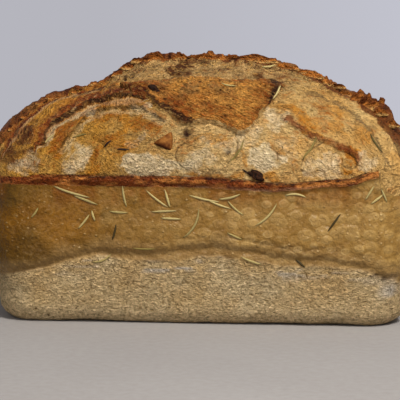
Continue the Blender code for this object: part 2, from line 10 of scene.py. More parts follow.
import bmesh
import bpy
import numpy as np
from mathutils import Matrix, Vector
from mathutils.bvhtree import BVHTree


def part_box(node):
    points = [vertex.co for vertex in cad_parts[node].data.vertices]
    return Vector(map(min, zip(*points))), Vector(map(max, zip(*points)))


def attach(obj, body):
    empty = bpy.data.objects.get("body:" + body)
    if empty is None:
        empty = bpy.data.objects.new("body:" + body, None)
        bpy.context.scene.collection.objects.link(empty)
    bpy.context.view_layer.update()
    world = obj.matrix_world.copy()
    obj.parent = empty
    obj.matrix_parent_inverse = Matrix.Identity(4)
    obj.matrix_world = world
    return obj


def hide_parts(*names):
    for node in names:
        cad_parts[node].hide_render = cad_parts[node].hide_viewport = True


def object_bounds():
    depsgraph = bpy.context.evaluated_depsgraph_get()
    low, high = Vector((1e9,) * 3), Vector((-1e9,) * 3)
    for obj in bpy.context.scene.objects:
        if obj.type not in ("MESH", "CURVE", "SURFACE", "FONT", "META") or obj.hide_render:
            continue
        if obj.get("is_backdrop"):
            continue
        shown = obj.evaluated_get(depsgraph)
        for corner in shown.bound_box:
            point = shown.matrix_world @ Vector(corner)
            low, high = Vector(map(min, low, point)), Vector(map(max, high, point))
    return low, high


# Driving dimensions, in metres, as in the solids
BASE_HALF_LENGTH = 0.1112
BASE_HALF_WIDTH = 0.0555
RIM_HALF_LENGTH = 0.1142
RIM_HALF_WIDTH = 0.0615
BASE_CORNER = 0.024
RIM_CORNER = 0.027
BASE_ROUNDING = 0.011
LEDGE_HEIGHT = 0.0789
DOME_HEIGHT = 0.0630
RIDGE_HALF_LENGTH = 0.064
RIDGE_Y = 0.007
LEFT_REACH = 0.1147
RIGHT_REACH = 0.1109
WALL_BULGE = 0.0012
LIP_FROM_X = -0.0960
LIP_TO_X = 0.0950
LIP_LEAN = 0.0019
LIP_RISE = 0.0019
# Where no lip runs, the wall turns in this far below the ledge
SHOULDER_DROP = 0.0045

# Lines of the front elevation (x, z), mostly left to right
STRIP_EDGE = (
    (-0.0864, 0.0900), (-0.0854, 0.0977), (-0.0826, 0.1042), (-0.0769, 0.1104), (-0.0694, 0.1151),
    (-0.0590, 0.1199), (-0.0449, 0.1219), (-0.0335, 0.1212), (-0.0258, 0.1180),
)
FOLD_EDGE = (
    (-0.0795, 0.0887), (-0.0741, 0.0968), (-0.0683, 0.1051), (-0.0615, 0.1123), (-0.0485, 0.1165),
    (-0.0332, 0.1165), (-0.0234, 0.1120), (-0.0140, 0.1073),
)
RIGHT_EDGE = (
    (0.0402, 0.1134), (0.0466, 0.1105), (0.0519, 0.1065), (0.0583, 0.1024), (0.0652, 0.0999),
    (0.0730, 0.0970), (0.0792, 0.0941), (0.0824, 0.0895), (0.0841, 0.0853),
)
SKIN_ISLAND = (
    (-0.0444, 0.1276), (-0.0364, 0.1243), (-0.0280, 0.1202), (-0.0197, 0.1157), (-0.0116, 0.1116),
    (-0.0062, 0.1096), (0.0017, 0.1108), (0.0108, 0.1088), (0.0204, 0.1053), (0.0266, 0.1084),
    (0.0317, 0.1166), (0.0379, 0.1227), (0.0437, 0.1284), (0.0313, 0.1310), (0.0195, 0.1310),
    (-0.0020, 0.1319), (-0.0206, 0.1302), (-0.0338, 0.1285),
)
GREY_CREASES = (
    (0.0561, 0.1252), (0.0637, 0.1236), (0.0708, 0.1205), (0.0766, 0.1165), (0.0829, 0.1125),
    (0.0879, 0.1066), (0.0929, 0.0997), (0.0969, 0.0908),
)
DOUGH_CREASES = (
    ((0.0645, 0.1000), (0.0578, 0.0957), (0.0542, 0.0916), (0.0527, 0.0865)),
    ((0.0108, 0.1035), (0.0172, 0.1020), (0.0194, 0.0975), (0.0185, 0.0928), (0.0144, 0.0881)),
    ((0.0342, 0.0974), (0.0380, 0.0960), (0.0402, 0.0930), (0.0406, 0.0895)),
    (
        (0.0690, 0.0935), (0.0735, 0.0948), (0.0800, 0.0925), (0.0822, 0.0885), (0.0795, 0.0858),
        (0.0740, 0.0872),
    ),
    ((-0.0100, 0.0862), (-0.0128, 0.0898), (-0.0125, 0.0950), (-0.0085, 0.0985), (-0.0030, 0.0998)),
    ((-0.0720, 0.1195), (-0.0640, 0.1235), (-0.0540, 0.1262), (-0.0440, 0.1275)),
    ((-0.0440, 0.1010), (-0.0400, 0.1025), (-0.0340, 0.1020), (-0.0290, 0.0995)),
)
WALL_SLIT = ((0.0915, 0.0290), (0.0945, 0.0288), (0.0975, 0.0272), (0.0992, 0.0250))
# The far rim of the tear, seen from above (x, y), left to right
RIM_LINE = (
    (-0.1128, -0.044), (-0.1010, -0.026), (-0.0850, -0.015), (-0.0576, -0.009), (-0.0350, -0.003),
    (0.0000, -0.002), (0.0380, -0.003), (0.0670, -0.008), (0.0860, -0.016), (0.1010, -0.028),
    (0.1105, -0.044),
)
RIM_STEP = 0.0034
# Tips of the rim: (x, height, half-width)
RIM_TIPS = (
    (-0.0394, 0.0012, 0.0021), (-0.0298, 0.0029, 0.0058), (0.0173, 0.0010, 0.0086),
    (0.0576, 0.0015, 0.0038), (0.0950, 0.0040, 0.0048),
)
# How far the skin stands out at the edges of its tears
STRIP_STEP = 0.0028
FOLD_STEP = 0.0018
RIGHT_STEP = 0.0018
ISLAND_LIFT = 0.0030
# Gas bubbles in the open dough: (x, z, radius, height)
BUBBLES = (
    (0.0342, 0.0910, 0.0062, 0.0010), (0.0761, 0.0890, 0.0080, 0.0010), (0.0797, 0.0821, 0.0043, 0.0006),
    (0.0027, 0.0945, 0.0150, 0.0010), (-0.0326, 0.0862, 0.0106, 0.0010), (-0.0080, 0.0845, 0.0067, 0.0008),
    (0.0184, 0.0961, 0.0072, 0.0006), (0.0600, 0.0880, 0.0077, 0.0008), (-0.0661, 0.0901, 0.0086, 0.0009),
    (0.0686, 0.1096, 0.0115, 0.0008), (-0.0483, 0.1061, 0.0106, 0.0008),
)
# Gas holes in the open dough: (x, z, radius, depth)
HOLES = (
    (-0.0077, 0.1038, 0.0026, 0.0028), (0.0143, 0.0938, 0.0016, 0.0016), (-0.0385, 0.1325, 0.0012, 0.0012),
    (-0.0430, 0.1310, 0.0010, 0.0010),
)

# Patches of colour on the open dough: (x, z, half-width, half-height, turn in degrees, strength)
ORANGE_PATCHES = (
    (-0.0735, 0.1010, 0.0050, 0.0135, -32, 1.2), (-0.0500, 0.1120, 0.0150, 0.0050, 4, 1.0),
    (-0.0290, 0.1070, 0.0125, 0.0062, -12, 1.0), (-0.0530, 0.0860, 0.0036, 0.0100, -8, 0.95),
    (-0.0440, 0.0975, 0.0100, 0.0050, 12, 0.9), (0.0080, 0.0815, 0.0150, 0.0032, 2, 0.75),
    (0.0060, 0.1010, 0.0120, 0.0034, 4, 0.7), (0.0750, 0.0868, 0.0040, 0.0026, -25, 1.3),
    (0.0680, 0.1130, 0.0120, 0.0080, -25, 0.55), (0.0560, 0.1085, 0.0150, 0.0038, -38, 0.8),
    (0.0800, 0.0935, 0.0050, 0.0040, -50, 1.2), (0.0420, 0.0990, 0.0100, 0.0060, 0, 0.4),
    (0.0480, 0.0840, 0.0045, 0.0060, 10, 0.4), (-0.0120, 0.0955, 0.0080, 0.0040, 10, 0.4),
    (0.0880, 0.1050, 0.0060, 0.0070, -50, 0.5), (0.0360, 0.0808, 0.0110, 0.0022, -8, 0.8),
    (0.0220, 0.0905, 0.0022, 0.0070, 35, 0.6),
)
# Brown patches: browned crust, and painted shade at the far left of the dough and in the pocket under the
# rim.
BROWN_AND_SHADE_PATCHES = (
    (-0.0965, 0.1010, 0.0060, 0.0110, -28, 1.4), (-0.0930, 0.0870, 0.0130, 0.0066, 12, 0.75),
    (-0.0870, 0.1100, 0.0060, 0.0050, -40, 0.6), (-0.1040, 0.0905, 0.0035, 0.0090, -10, 1.0),
    (0.0640, 0.1160, 0.0130, 0.0070, -30, 0.35), (-0.0135, 0.1375, 0.0062, 0.0034, 0, 1.6),
    (-0.1015, 0.1030, 0.0044, 0.0110, -38, 1.7), (0.0260, 0.1180, 0.0100, 0.0030, -20, 0.4),
)
WHITE_PATCHES = (
    (-0.0925, 0.0862, 0.0120, 0.0066, 12, 0.65), (-0.0650, 0.0888, 0.0140, 0.0066, 38, 0.9),
    (-0.0790, 0.1030, 0.0030, 0.0110, -32, 1.2), (-0.0640, 0.1145, 0.0090, 0.0026, 28, 1.1),
    (-0.0270, 0.1160, 0.0130, 0.0020, -26, 0.8), (-0.0305, 0.0838, 0.0115, 0.0078, 0, 1.5),
    (-0.0100, 0.0855, 0.0120, 0.0060, 0, 0.95), (0.0342, 0.0905, 0.0066, 0.0066, 0, 1.2),
    (0.0010, 0.0905, 0.0110, 0.0045, 0, 0.7), (0.0620, 0.0880, 0.0110, 0.0070, 0, 0.7),
    (0.0370, 0.1090, 0.0080, 0.0070, -30, 0.8), (0.0860, 0.0880, 0.0070, 0.0060, 0, 0.8),
    (0.0470, 0.0900, 0.0050, 0.0060, 0, 0.5), (0.0130, 0.0990, 0.0130, 0.0045, 5, 0.55),
    (0.0270, 0.1040, 0.0060, 0.0060, 20, 0.6), (0.0430, 0.1000, 0.0090, 0.0040, -20, 0.45),
    (-0.0370, 0.1000, 0.0060, 0.0026, 20, 0.5),
)

# Rosemary on the front: (x, z, turn in degrees, length, bend, shade), shade 0 pale straw, 1 olive, 2 burnt
NEEDLES = (
    (-0.0682, 0.0707, -17, 0.0202, 0.12, 0.3), (-0.0605, 0.0669, -20, 0.0134, 0.0, 0.5),
    (-0.0614, 0.0554, 52, 0.0096, 0.1, 0.4), (-0.0566, 0.0587, -72, 0.0058, 0.1, 0.4),
    (-0.0403, 0.0693, -80, 0.0115, 0.12, 0.2), (-0.0432, 0.0607, -4, 0.0096, 0.1, 0.6),
    (-0.0451, 0.0501, 76, 0.0086, 0.2, 1.8), (-0.0230, 0.0679, -38, 0.0144, 0.1, 0.1),
    (-0.0173, 0.0683, -74, 0.0096, 0.0, 0.2), (-0.0192, 0.0616, 3, 0.0134, 0.0, 0.1),
    (-0.0154, 0.0578, -2, 0.0106, 0.0, 0.2), (-0.0029, 0.0544, 62, 0.0182, 0.5, 0.5),
    (0.0019, 0.0683, -12, 0.0163, 0.1, 0.1), (0.0096, 0.0655, -20, 0.0134, 0.1, 0.1),
    (0.0154, 0.0693, 14, 0.0115, 0.2, 0.2), (0.0182, 0.0635, -42, 0.0115, 0.2, 0.5),
    (0.0355, 0.0597, 47, 0.0163, 0.35, 0.3), (0.0499, 0.0717, -4, 0.0115, -0.5, 0.1),
    (0.0701, 0.0568, 55, 0.0115, 0.0, 1.8), (0.0883, 0.0727, 60, 0.0086, 0.0, 0.2),
    (0.0922, 0.0693, 38, 0.0077, 0.0, 0.2), (0.0960, 0.0712, -65, 0.0077, 0.0, 0.3),
    (-0.0298, 0.0415, -3, 0.0125, 0.1, 1.0), (-0.0518, 0.0347, 24, 0.0115, 0.5, 0.6),
    (0.0269, 0.0357, -20, 0.0115, 0.1, 0.4), (0.0528, 0.0347, -42, 0.0067, 0.0, 1.8),
    (0.0182, 0.0491, -24, 0.0086, 0.0, 0.6), (-0.0874, 0.0597, 55, 0.0067, 0.2, 0.8),
    (0.0192, 0.0923, 58, 0.0182, 0.5, 1.0), (0.0576, 0.0947, 62, 0.0144, 0.4, 1.0),
    (-0.0499, 0.0962, 55, 0.0058, 0.0, 2.0), (-0.0413, 0.0933, -4, 0.0067, 0.0, 2.0),
    (-0.0816, 0.0981, 60, 0.0077, 0.1, 0.1), (0.0134, 0.1269, -12, 0.0086, 0.0, 0.4),
    (0.0394, 0.1235, 52, 0.0096, 0.0, 0.0), (0.0912, 0.0981, -62, 0.0134, 0.3, 1.6),
    (0.0346, 0.1365, -2, 0.0096, 0.0, 0.2), (-0.0653, 0.1000, 12, 0.0077, 0.0, 1.2),
    (0.0240, 0.0823, -36, 0.0058, 0.0, 2.0),
)
NEEDLE_RADIUS = 0.00058
NEEDLE_FLATNESS = 0.62
NEEDLE_RINGS = 15
NEEDLE_SIDES = 8
BACK_NEEDLES = 14
NEEDLE_SEED = 11
# Scorched bits: (x, z, length, width, turn in degrees)
SCORCHED_BITS = ((-0.0269, 0.1255, 0.0060, 0.0042, -30), (0.0288, 0.0808, 0.0091, 0.0040, -28))
SCORCHED_THICKNESS = 0.0022
GARLIC_PLACE = (-0.0206, 0.0976)
GARLIC_WIDTH = 0.0108
GARLIC_HEIGHT = 0.0088
GARLIC_DEPTH = 0.0062
GARLIC_LEAN = (0.0, -0.8, 0.25)

# Shards of crust along the far rim of the tear: tall ones by (x, width, height), and the two at its right end
# by (place in plan, turn, lean, width, height, curl, darkness)
TALL_FLAKES = (
    (-0.0320, 0.0200, 0.0056), (-0.0135, 0.0130, 0.0046), (0.0005, 0.0140, 0.0048), (0.0250, 0.0290, 0.0040),
)
CORNER_FLAKES = (
    ((0.0905, -0.0215), 24, 5, 0.0175, 0.0098, -0.2, 0.9),
    ((0.0845, -0.0200), 10, -5, 0.0120, 0.0070, 0.2, 0.7),
)
FLAKE_SEED = 5
FLAKE_THICKNESS = 0.0012
# Height of the model's box that is kept free above the dome for the shards
SHARD_ROOM = 0.0012

# Sizes, seeds and octaves of the soft noise that clouds the tones of the crust
MOTTLES = {
    "broad": (0.020, 105, 2), "cloud": (0.012, 81, 3), "mottle": (0.005, 85, 3), "speck": (0.0020, 89, 3),
}

# Strokes along the lines of the crust, in the order of their painting: the line, the distance from it,
# the half-width, how much it wanders, its strength, whether it breaks up, and its screen colour
STROKES = (
    ("island_edge", 0.0006, 0.0014, 1.3, 0.90, False, (60, 28, 14)),
    ("strip", 0.0012, 0.0070, 2.0, 0.70, False, (172, 104, 34)),
    ("outer", 0.0012, 0.0070, 2.0, 0.70, False, (172, 104, 34)),
    ("strip", 0.0014, 0.0025, 1.4, 0.95, True, (116, 44, 4)),
    ("right", 0.0006, 0.0017, 1.0, 0.90, True, (124, 60, 22)),
    ("outer", 0.0000, 0.0026, 1.4, 0.95, True, (116, 44, 4)),
    ("strip", -0.0030, 0.0020, 1.6, 0.75, True, (212, 182, 134)),
    ("fold", -0.0024, 0.0020, 1.6, 0.60, True, (212, 182, 134)),
    ("outer", -0.0026, 0.0020, 1.6, 0.40, True, (212, 182, 134)),
    ("fold", 0.0012, 0.0018, 1.0, 0.60, True, (158, 88, 26)),
    # Painted shadow: the next three near-black strokes darken the foot of the raised edges of the strip, the
    # fold and the outer skin.
    ("strip", -0.0004, 0.0008, 0.4, 0.95, True, (44, 22, 6)),
    ("fold", -0.0004, 0.0008, 0.4, 0.70, True, (44, 22, 6)),
    ("outer", -0.0004, 0.0008, 0.4, 0.60, True, (44, 22, 6)),
    # Painted shade: the next two strokes darken the creases of the dough, the listed ones and the grey ones.
    ("crease", 0.0000, 0.0006, 0.2, 0.60, False, (104, 82, 50)),
    ("grey", 0.0000, 0.0013, 2.0, 0.70, True, (104, 84, 54)),
)

# How far the grain of a material is spread out around 0
GRAIN_SPREAD = 2.6

# Steps of the skin's net: along the front, the back and each end, round each corner, and its rows
FRONT_STEPS = 384
BACK_STEPS = 96
END_STEPS = 26
CORNER_STEPS = 8
ROWS = {"base": 2, "rounding": 5, "wall": 56, "lip": 12, "dome": 99}

# The camera: aim on the front wall, way round, height, distance and lens
AIM = (-0.0003, -0.0591, 0.0677)
CAMERA_TURN = 3.0
CAMERA_RISE = 6.0
CAMERA_ROLL = 0.45
CAMERA_DISTANCE = 0.864
LENS = 148.0

# How far the stage reaches from the loaf, its sky, and its lamps: (name, place, size, watts, colour)
STAGE_REACH = 3.0
SKY_COLOUR = (0.95, 0.95, 1.0)
SKY_STRENGTH = 0.27
LIGHT_AIM = (0.0, 0.0, 0.07)
LIGHTS = (
    ("key", (0.40, -0.78, 1.05), 0.36, 18.6, (1.0, 0.97, 0.92)),
    ("fill", (-0.2, -1.3, 0.35), 1.0, 4.6, (1.0, 1.0, 1.0)),
)


def smooth(t):
    """Runs from 0 to 1 as t does, flat at both ends."""
    t = np.clip(t, 0.0, 1.0)
    return t * t * (3.0 - 2.0 * t)


def hump(t):
    """A bell of height 1 and half-width 1."""
    return np.exp(-t * t)


def lattice_noise(x, y, z, size, seed):
    """Smooth noise from -1 to 1: random values on a cubic lattice of this size, blended between them."""
    x, y, z = np.broadcast_arrays(x, y, z)
    table = np.random.RandomState(seed).uniform(-1.0, 1.0, (32, 32, 32))
    cells = [np.floor(c / size).astype(int) for c in (x, y, z)]
    shares = [smooth(c / size - cell) for c, cell in zip((x, y, z), cells)]
    total = np.zeros_like(x)
    for corner in range(8):
        bits = (corner & 1, corner >> 1 & 1, corner >> 2 & 1)
        weight = np.ones_like(x)
        for bit, share in zip(bits, shares):
            weight = weight * (share if bit else 1.0 - share)
        index = [(cell + bit) % 32 for cell, bit in zip(cells, bits)]
        total += weight * table[index[0], index[1], index[2]]
    return total


def rough(x, y, z, size, seed, octaves=2):
    """Lattice noise with finer and weaker copies of itself added."""
    return sum(lattice_noise(x, y, z, size / 2**k, seed + k) / 2**k for k in range(octaves))


def through(points, steps=8, closed=False):
    """A Catmull-Rom curve through the points, as a fine polyline."""
    p = np.array(points, float)
    ends = (p[-1:], p[:2]) if closed else (2 * p[:1] - p[1:2], 2 * p[-1:] - p[-2:-1])
    p = np.concatenate([ends[0], p, ends[1]])
    t = np.linspace(0.0, 1.0, steps, endpoint=False)[:, None]
    runs = [
        0.5 * (2 * b + (c - a) * t + (2 * a - 5 * b + 4 * c - d) * t**2 + (3 * b - a - 3 * c + d) * t**3)
        for a, b, c, d in zip(p[:-3], p[1:-2], p[2:-1], p[3:])
    ]
    return np.concatenate([*runs, p[-2:-1]])


def beside(u, v, line):
    """Signed distance from a polyline, positive on its left, and the share of its length passed there."""
    best = np.full(u.shape, 1e9)
    signed, along = np.zeros(u.shape), np.zeros(u.shape)
    spans = np.linalg.norm(np.diff(line, axis=0), axis=1)
    starts = np.concatenate([[0.0], np.cumsum(spans)])
    for (au, av), (bu, bv), span, start in zip(line[:-1], line[1:], spans, starts):
        du, dv = (bu - au) / span, (bv - av) / span
        t = np.clip((u - au) * du + (v - av) * dv, 0.0, span)
        qu, qv = u - au - t * du, v - av - t * dv
        near = qu * qu + qv * qv
        closer = near < best
        best = np.where(closer, near, best)
        signed = np.where(closer, np.sign(du * qv - dv * qu) * np.sqrt(near), signed)
        along = np.where(closer, (start + t) / starts[-1], along)
    return signed, along


def torn_edge(f, lift, fall, width):
    """Height of torn skin at a distance f behind its edge.

    It stands by lift at f = 0, sinks away over fall behind the edge, and drops within width before it.
    """
    behind = np.exp(-np.maximum(f, 0.0) / fall)
    before = smooth(1.0 + f / width)
    return lift * np.where(f > 0.0, behind, before) - 0.25 * lift * hump((f + 1.5 * width) / width)


def turned(degrees):
    """Cosine and sine of an angle in degrees."""
    return math.cos(math.radians(degrees)), math.sin(math.radians(degrees))


def patches(x, z, listed, wobble):
    """How far these soft turned ellipses cover each point, from 0 to about 1. wobble shifts their edges."""
    total = np.zeros_like(x)
    for middle_x, middle_z, half_x, half_z, turn, strength in listed:
        c, s = turned(turn)
        u = ((x - middle_x) * c + (z - middle_z) * s) / half_x
        v = ((z - middle_z) * c - (x - middle_x) * s) / half_z
        total = np.maximum(total, strength * (1.0 - smooth((np.hypot(u, v) + wobble - 0.55) / 0.65)))
    return total


def ring_steps():
    """Each ring's points as (ex, ey, phi): the place along the straight sides, and the way the skin faces."""
    front = np.linspace(-1.0, 1.0, FRONT_STEPS, endpoint=False)
    back = np.linspace(-1.0, 1.0, BACK_STEPS, endpoint=False)
    end = np.linspace(-1.0, 1.0, END_STEPS, endpoint=False)
    turn = np.linspace(0.0, math.pi / 2, CORNER_STEPS, endpoint=False)
    quarter = math.pi / 2
    parts = (
        (front, -1.0, -quarter), (1.0, -1.0, turn - quarter),
        (1.0, end, 0.0), (1.0, 1.0, turn),
        (-back, 1.0, quarter), (-1.0, 1.0, turn + quarter),
        (-1.0, -end, 2 * quarter), (-1.0, -1.0, turn + 2 * quarter),
    )
    spread = [np.broadcast_arrays(*(np.asarray(v, float) for v in part)) for part in parts]
    return [np.concatenate([part[i] for part in spread]) for i in range(3)]


def ledge_height(x):
    """The ledge sags right of the middle and lifts where it ends, at the right."""
    return LEDGE_HEIGHT - 0.0030 * hump((x - 0.042) / 0.025) + 0.0046 * smooth((x - 0.077) / 0.017)


def ridge_height(x):
    """Height of the dome above the ledge along the ridge, with a low left and a low right shoulder."""
    u = np.clip(np.abs(x) / np.where(x < 0.0, LEFT_REACH, RIGHT_REACH), 0.0, 1.0)
    left = 0.19 * smooth((-x - 0.029) / 0.036) * smooth((x + 0.120) / 0.024)
    right = 0.20 * smooth((x - 0.024) / 0.075)
    return DOME_HEIGHT * (1.0 - u**3.2) ** 0.4 * (1.0 - left - right)


def dome_height(x, y):
    """Height of the dome above the ledge: the ridge's height, falling off to both sides."""
    over = np.clip(np.abs(x) - (RIM_HALF_LENGTH - RIM_CORNER), 0.0, RIM_CORNER)
    half_width = RIM_HALF_WIDTH - RIM_CORNER + np.sqrt(RIM_CORNER**2 - over**2)
    front = np.clip((RIDGE_Y - y) / (half_width + RIDGE_Y), 0.0, 1.0)
    back = np.clip((y - RIDGE_Y) / (half_width - RIDGE_Y), 0.0, 1.0)
    return ridge_height(x) * (1.0 - front**2.2) ** 0.62 * (1.0 - back**2.6) ** 0.5


def front_share(x, y):
    """1 where the front lip runs, 0 elsewhere, easing out at both of its ends."""
    along = smooth((x - LIP_FROM_X) / 0.012) * smooth((LIP_TO_X - x) / 0.003)
    return along * smooth((-y - 0.040) / 0.012)


def ring(ex, ey, phi, half_length, half_width, corner, y0=0.0):
    """A rounded rectangle of that half-length, half-width and corner radius."""
    x = ex * (half_length - corner) + corner * np.cos(phi)
    y = y0 + ey * (half_width - corner) + corner * np.sin(phi)
    return x, y


def plain_skin():
    """The loaf with no relief: arrays x, y, z of ring rows from the middle of the base to the ridge."""
    ex, ey, phi = ring_steps()
    rows = []
    for t in np.linspace(1.0, 0.0, ROWS["base"], endpoint=False):
        half_width = (1.0 - t) * (BASE_HALF_WIDTH - BASE_ROUNDING)
        half_length = BASE_HALF_LENGTH - BASE_ROUNDING - t * (BASE_HALF_WIDTH - BASE_ROUNDING)
        x, y = ring(ex, ey, phi, half_length, half_width, (1.0 - t) * (BASE_CORNER - BASE_ROUNDING))
        rows.append((x, y, np.zeros_like(x)))
    for angle in np.linspace(0.0, math.pi / 2, ROWS["rounding"]):
        out = BASE_ROUNDING * (1.0 - math.sin(angle))
        x, y = ring(ex, ey, phi, BASE_HALF_LENGTH - out, BASE_HALF_WIDTH - out, BASE_CORNER - out)
        rows.append((x, y, np.full_like(x, BASE_ROUNDING * (1.0 - math.cos(angle)))))
    for t in np.linspace(0.0, 1.0, ROWS["wall"] + 1)[1:-1]:
        bulge = WALL_BULGE * math.sin(math.pi * t)
        x, y = ring(
            ex, ey, phi,
            BASE_HALF_LENGTH + t * (RIM_HALF_LENGTH - BASE_HALF_LENGTH) + bulge,
            BASE_HALF_WIDTH + t * (RIM_HALF_WIDTH - BASE_HALF_WIDTH) + bulge,
            BASE_CORNER + t * (RIM_CORNER - BASE_CORNER),
        )
        rows.append((x, y, BASE_ROUNDING + t * (ledge_height(x) - SHOULDER_DROP - BASE_ROUNDING)))
    walls = [np.array([row[i] for row in rows]) for i in range(3)]
    return [np.concatenate(pair) for pair in zip(walls, lip_and_dome(ex, ey, phi, ROWS["lip"], ROWS["dome"]))]


def lip_and_dome(ex, ey, phi, lip_rows, dome_rows):
    """Rows over the torn lip and on to the ridge. The lip leans out, folds over and drops behind itself."""
    x0, y0 = ring(ex, ey, phi, RIM_HALF_LENGTH, RIM_HALF_WIDTH, RIM_CORNER)
    nx, ny = np.cos(phi), np.sin(phi)
    share = front_share(x0, y0)
    ledge = ledge_height(x0)
    # Insets are spread evenly over the arc of the section, which starts upright and ends level
    steps = np.arange(lip_rows + dome_rows)[:, None]
    all_round = 1.0 - np.cos(steps / steps[-1] * math.pi / 2) ** 0.9
    past_lip = np.clip((steps - lip_rows + 1) / dome_rows, 0.0, 1.0)
    behind_lip = 1.0 - np.cos(past_lip * math.pi / 2) ** 0.9
    w = all_round + share * (behind_lip - all_round)
    w[-1] = 1.0
    half_length = RIM_HALF_LENGTH - w * (RIM_HALF_LENGTH - RIDGE_HALF_LENGTH)
    x, y = ring(ex, ey, phi, half_length, RIM_HALF_WIDTH * (1.0 - w), RIM_CORNER * (1.0 - w), w * RIDGE_Y)
    z = ledge + (LEDGE_HEIGHT - ledge) * smooth(w) + dome_height(x, y)
    z -= (1.0 - share) * SHOULDER_DROP * (1.0 - smooth(steps / (0.05 * steps[-1])))
    z -= share * 0.5 * LIP_RISE * (1.0 - smooth(w / 0.01))
    set_back = 1.9 * LIP_LEAN * share * (1.0 - w) ** 3
    x, y = x - nx * set_back, y - ny * set_back
    lip = through(((0.0, -1.5), (1.0, -0.2), (0.9, 1.0), (0.1, 0.93), (-1.0, 0.0), (-1.9, -0.5)), 12)
    lip = lip[np.linspace(0, len(lip) - 1, lip_rows).astype(int)]
    torn = 1.0 + 0.35 * rough(x0, 0 * x0, 0 * x0, 0.007, 67, 2)
    out, up = lip[:, :1] * LIP_LEAN * torn, lip[:, 1:] * LIP_RISE * torn
    for plain, lipped in ((x, x0 + nx * out), (y, y0 + ny * out), (z, ledge + up)):
        plain[:lip_rows] += share * (lipped - plain[:lip_rows])
    return x, y, z


def net_normals(x, y, z):
    """Unit normals of the net, from the steps to the neighbours along and across the rings."""
    points = np.stack([x, y, z], -1)
    across = np.roll(points, -1, axis=1) - np.roll(points, 1, axis=1)
    up = np.gradient(points, axis=0)
    normal = np.cross(across, up)
    length = np.linalg.norm(normal, axis=-1, keepdims=True)
    return normal / np.maximum(length, 1e-12)


def tin_line(x, y):
    """Height on the wall up to which the dough lay against the tin: highest in the middle of each side."""
    wave = 0.0012 * np.sin(x / 0.011 + 0.7) + 0.0015 * np.sin(y / 0.013)
    return 0.0395 - 0.0165 * np.clip(np.abs(x) / RIM_HALF_LENGTH, 0, 1) ** 2 + wave


def survey(x, y, z):
    """Signed distances and shares of every feature of the crust at the points of the net."""
    s = {"x": x, "y": y, "z": z}
    s["ragged"] = 0.0010 * rough(x, y, z, 0.0055, 7, 4)
    # The crumb was drawn out along arcs around the middle of the ledge
    s["across"] = 0.075 * np.hypot(x / 0.112, (z - 0.070) / 0.070) + 0.0015 * rough(x, y, z, 0.012, 51, 2)
    s["along"] = 0.095 * np.arctan2((z - 0.070) / 0.070, x / 0.112) + 0.5 * y
    fibre = (s["along"] / 3.5, s["across"], 0.3 * y)
    s["fibres"] = rough(*fibre, 0.0017, 53, 3)
    s["strands"] = rough(*fibre, 0.0042, 57, 2)
    s["rim"], s["rim_along"] = beside(x, y, through(RIM_LINE))
    s["above"] = smooth((z - 0.086) / 0.012)
    # How far the browned edge of the skin reaches down in front of the rim
    s["rim_band"] = 0.0022 + 0.0045 * smooth((x + 0.055) / 0.03) + 0.0030 * smooth((x - 0.045) / 0.02)
    s["rim_band"] = s["rim_band"] + 0.0020 * rough(x, 0 * y, 0 * z, 0.008, 27, 2)
    s["up"] = z - ledge_height(x)
    s["tear"] = smooth(-s["rim"] / 0.004) * smooth((s["up"] - 0.001) / 0.003)
    s["lip_low"] = 0.0034 - 0.0020 * smooth((x - 0.005) / 0.055)
    for name, line in (("strip", STRIP_EDGE), ("fold", FOLD_EDGE), ("right", RIGHT_EDGE)):
        edge, along = beside(x, z, through(line))
        s[name] = edge + s["ragged"]
        s[name + "_near"] = smooth(along / 0.12) * smooth((1.0 - along) / 0.12) * hump(edge / 0.020)
    s["island"] = beside(x, z, through(SKIN_ISLAND, closed=True))[0] + 0.7 * s["ragged"]
    s["grey"] = beside(x, z, through(GREY_CREASES))[0]
    creases = [beside(x, z, through(line))[0] for line in DOUGH_CREASES]
    s["crease"] = np.min(np.abs(creases), axis=0)
    s["slit"] = np.abs(beside(x, z, through(WALL_SLIT))[0]) + 0.05 * smooth((y + 0.030) / 0.01)
    s["wall"] = z - tin_line(x, y) + 0.0012 * rough(x, y, z, 0.011, 61, 3)
    s["floury"] = s["wall"] + 0.0008 + 0.0040 * hump((x - 0.015) / 0.070)
    return s


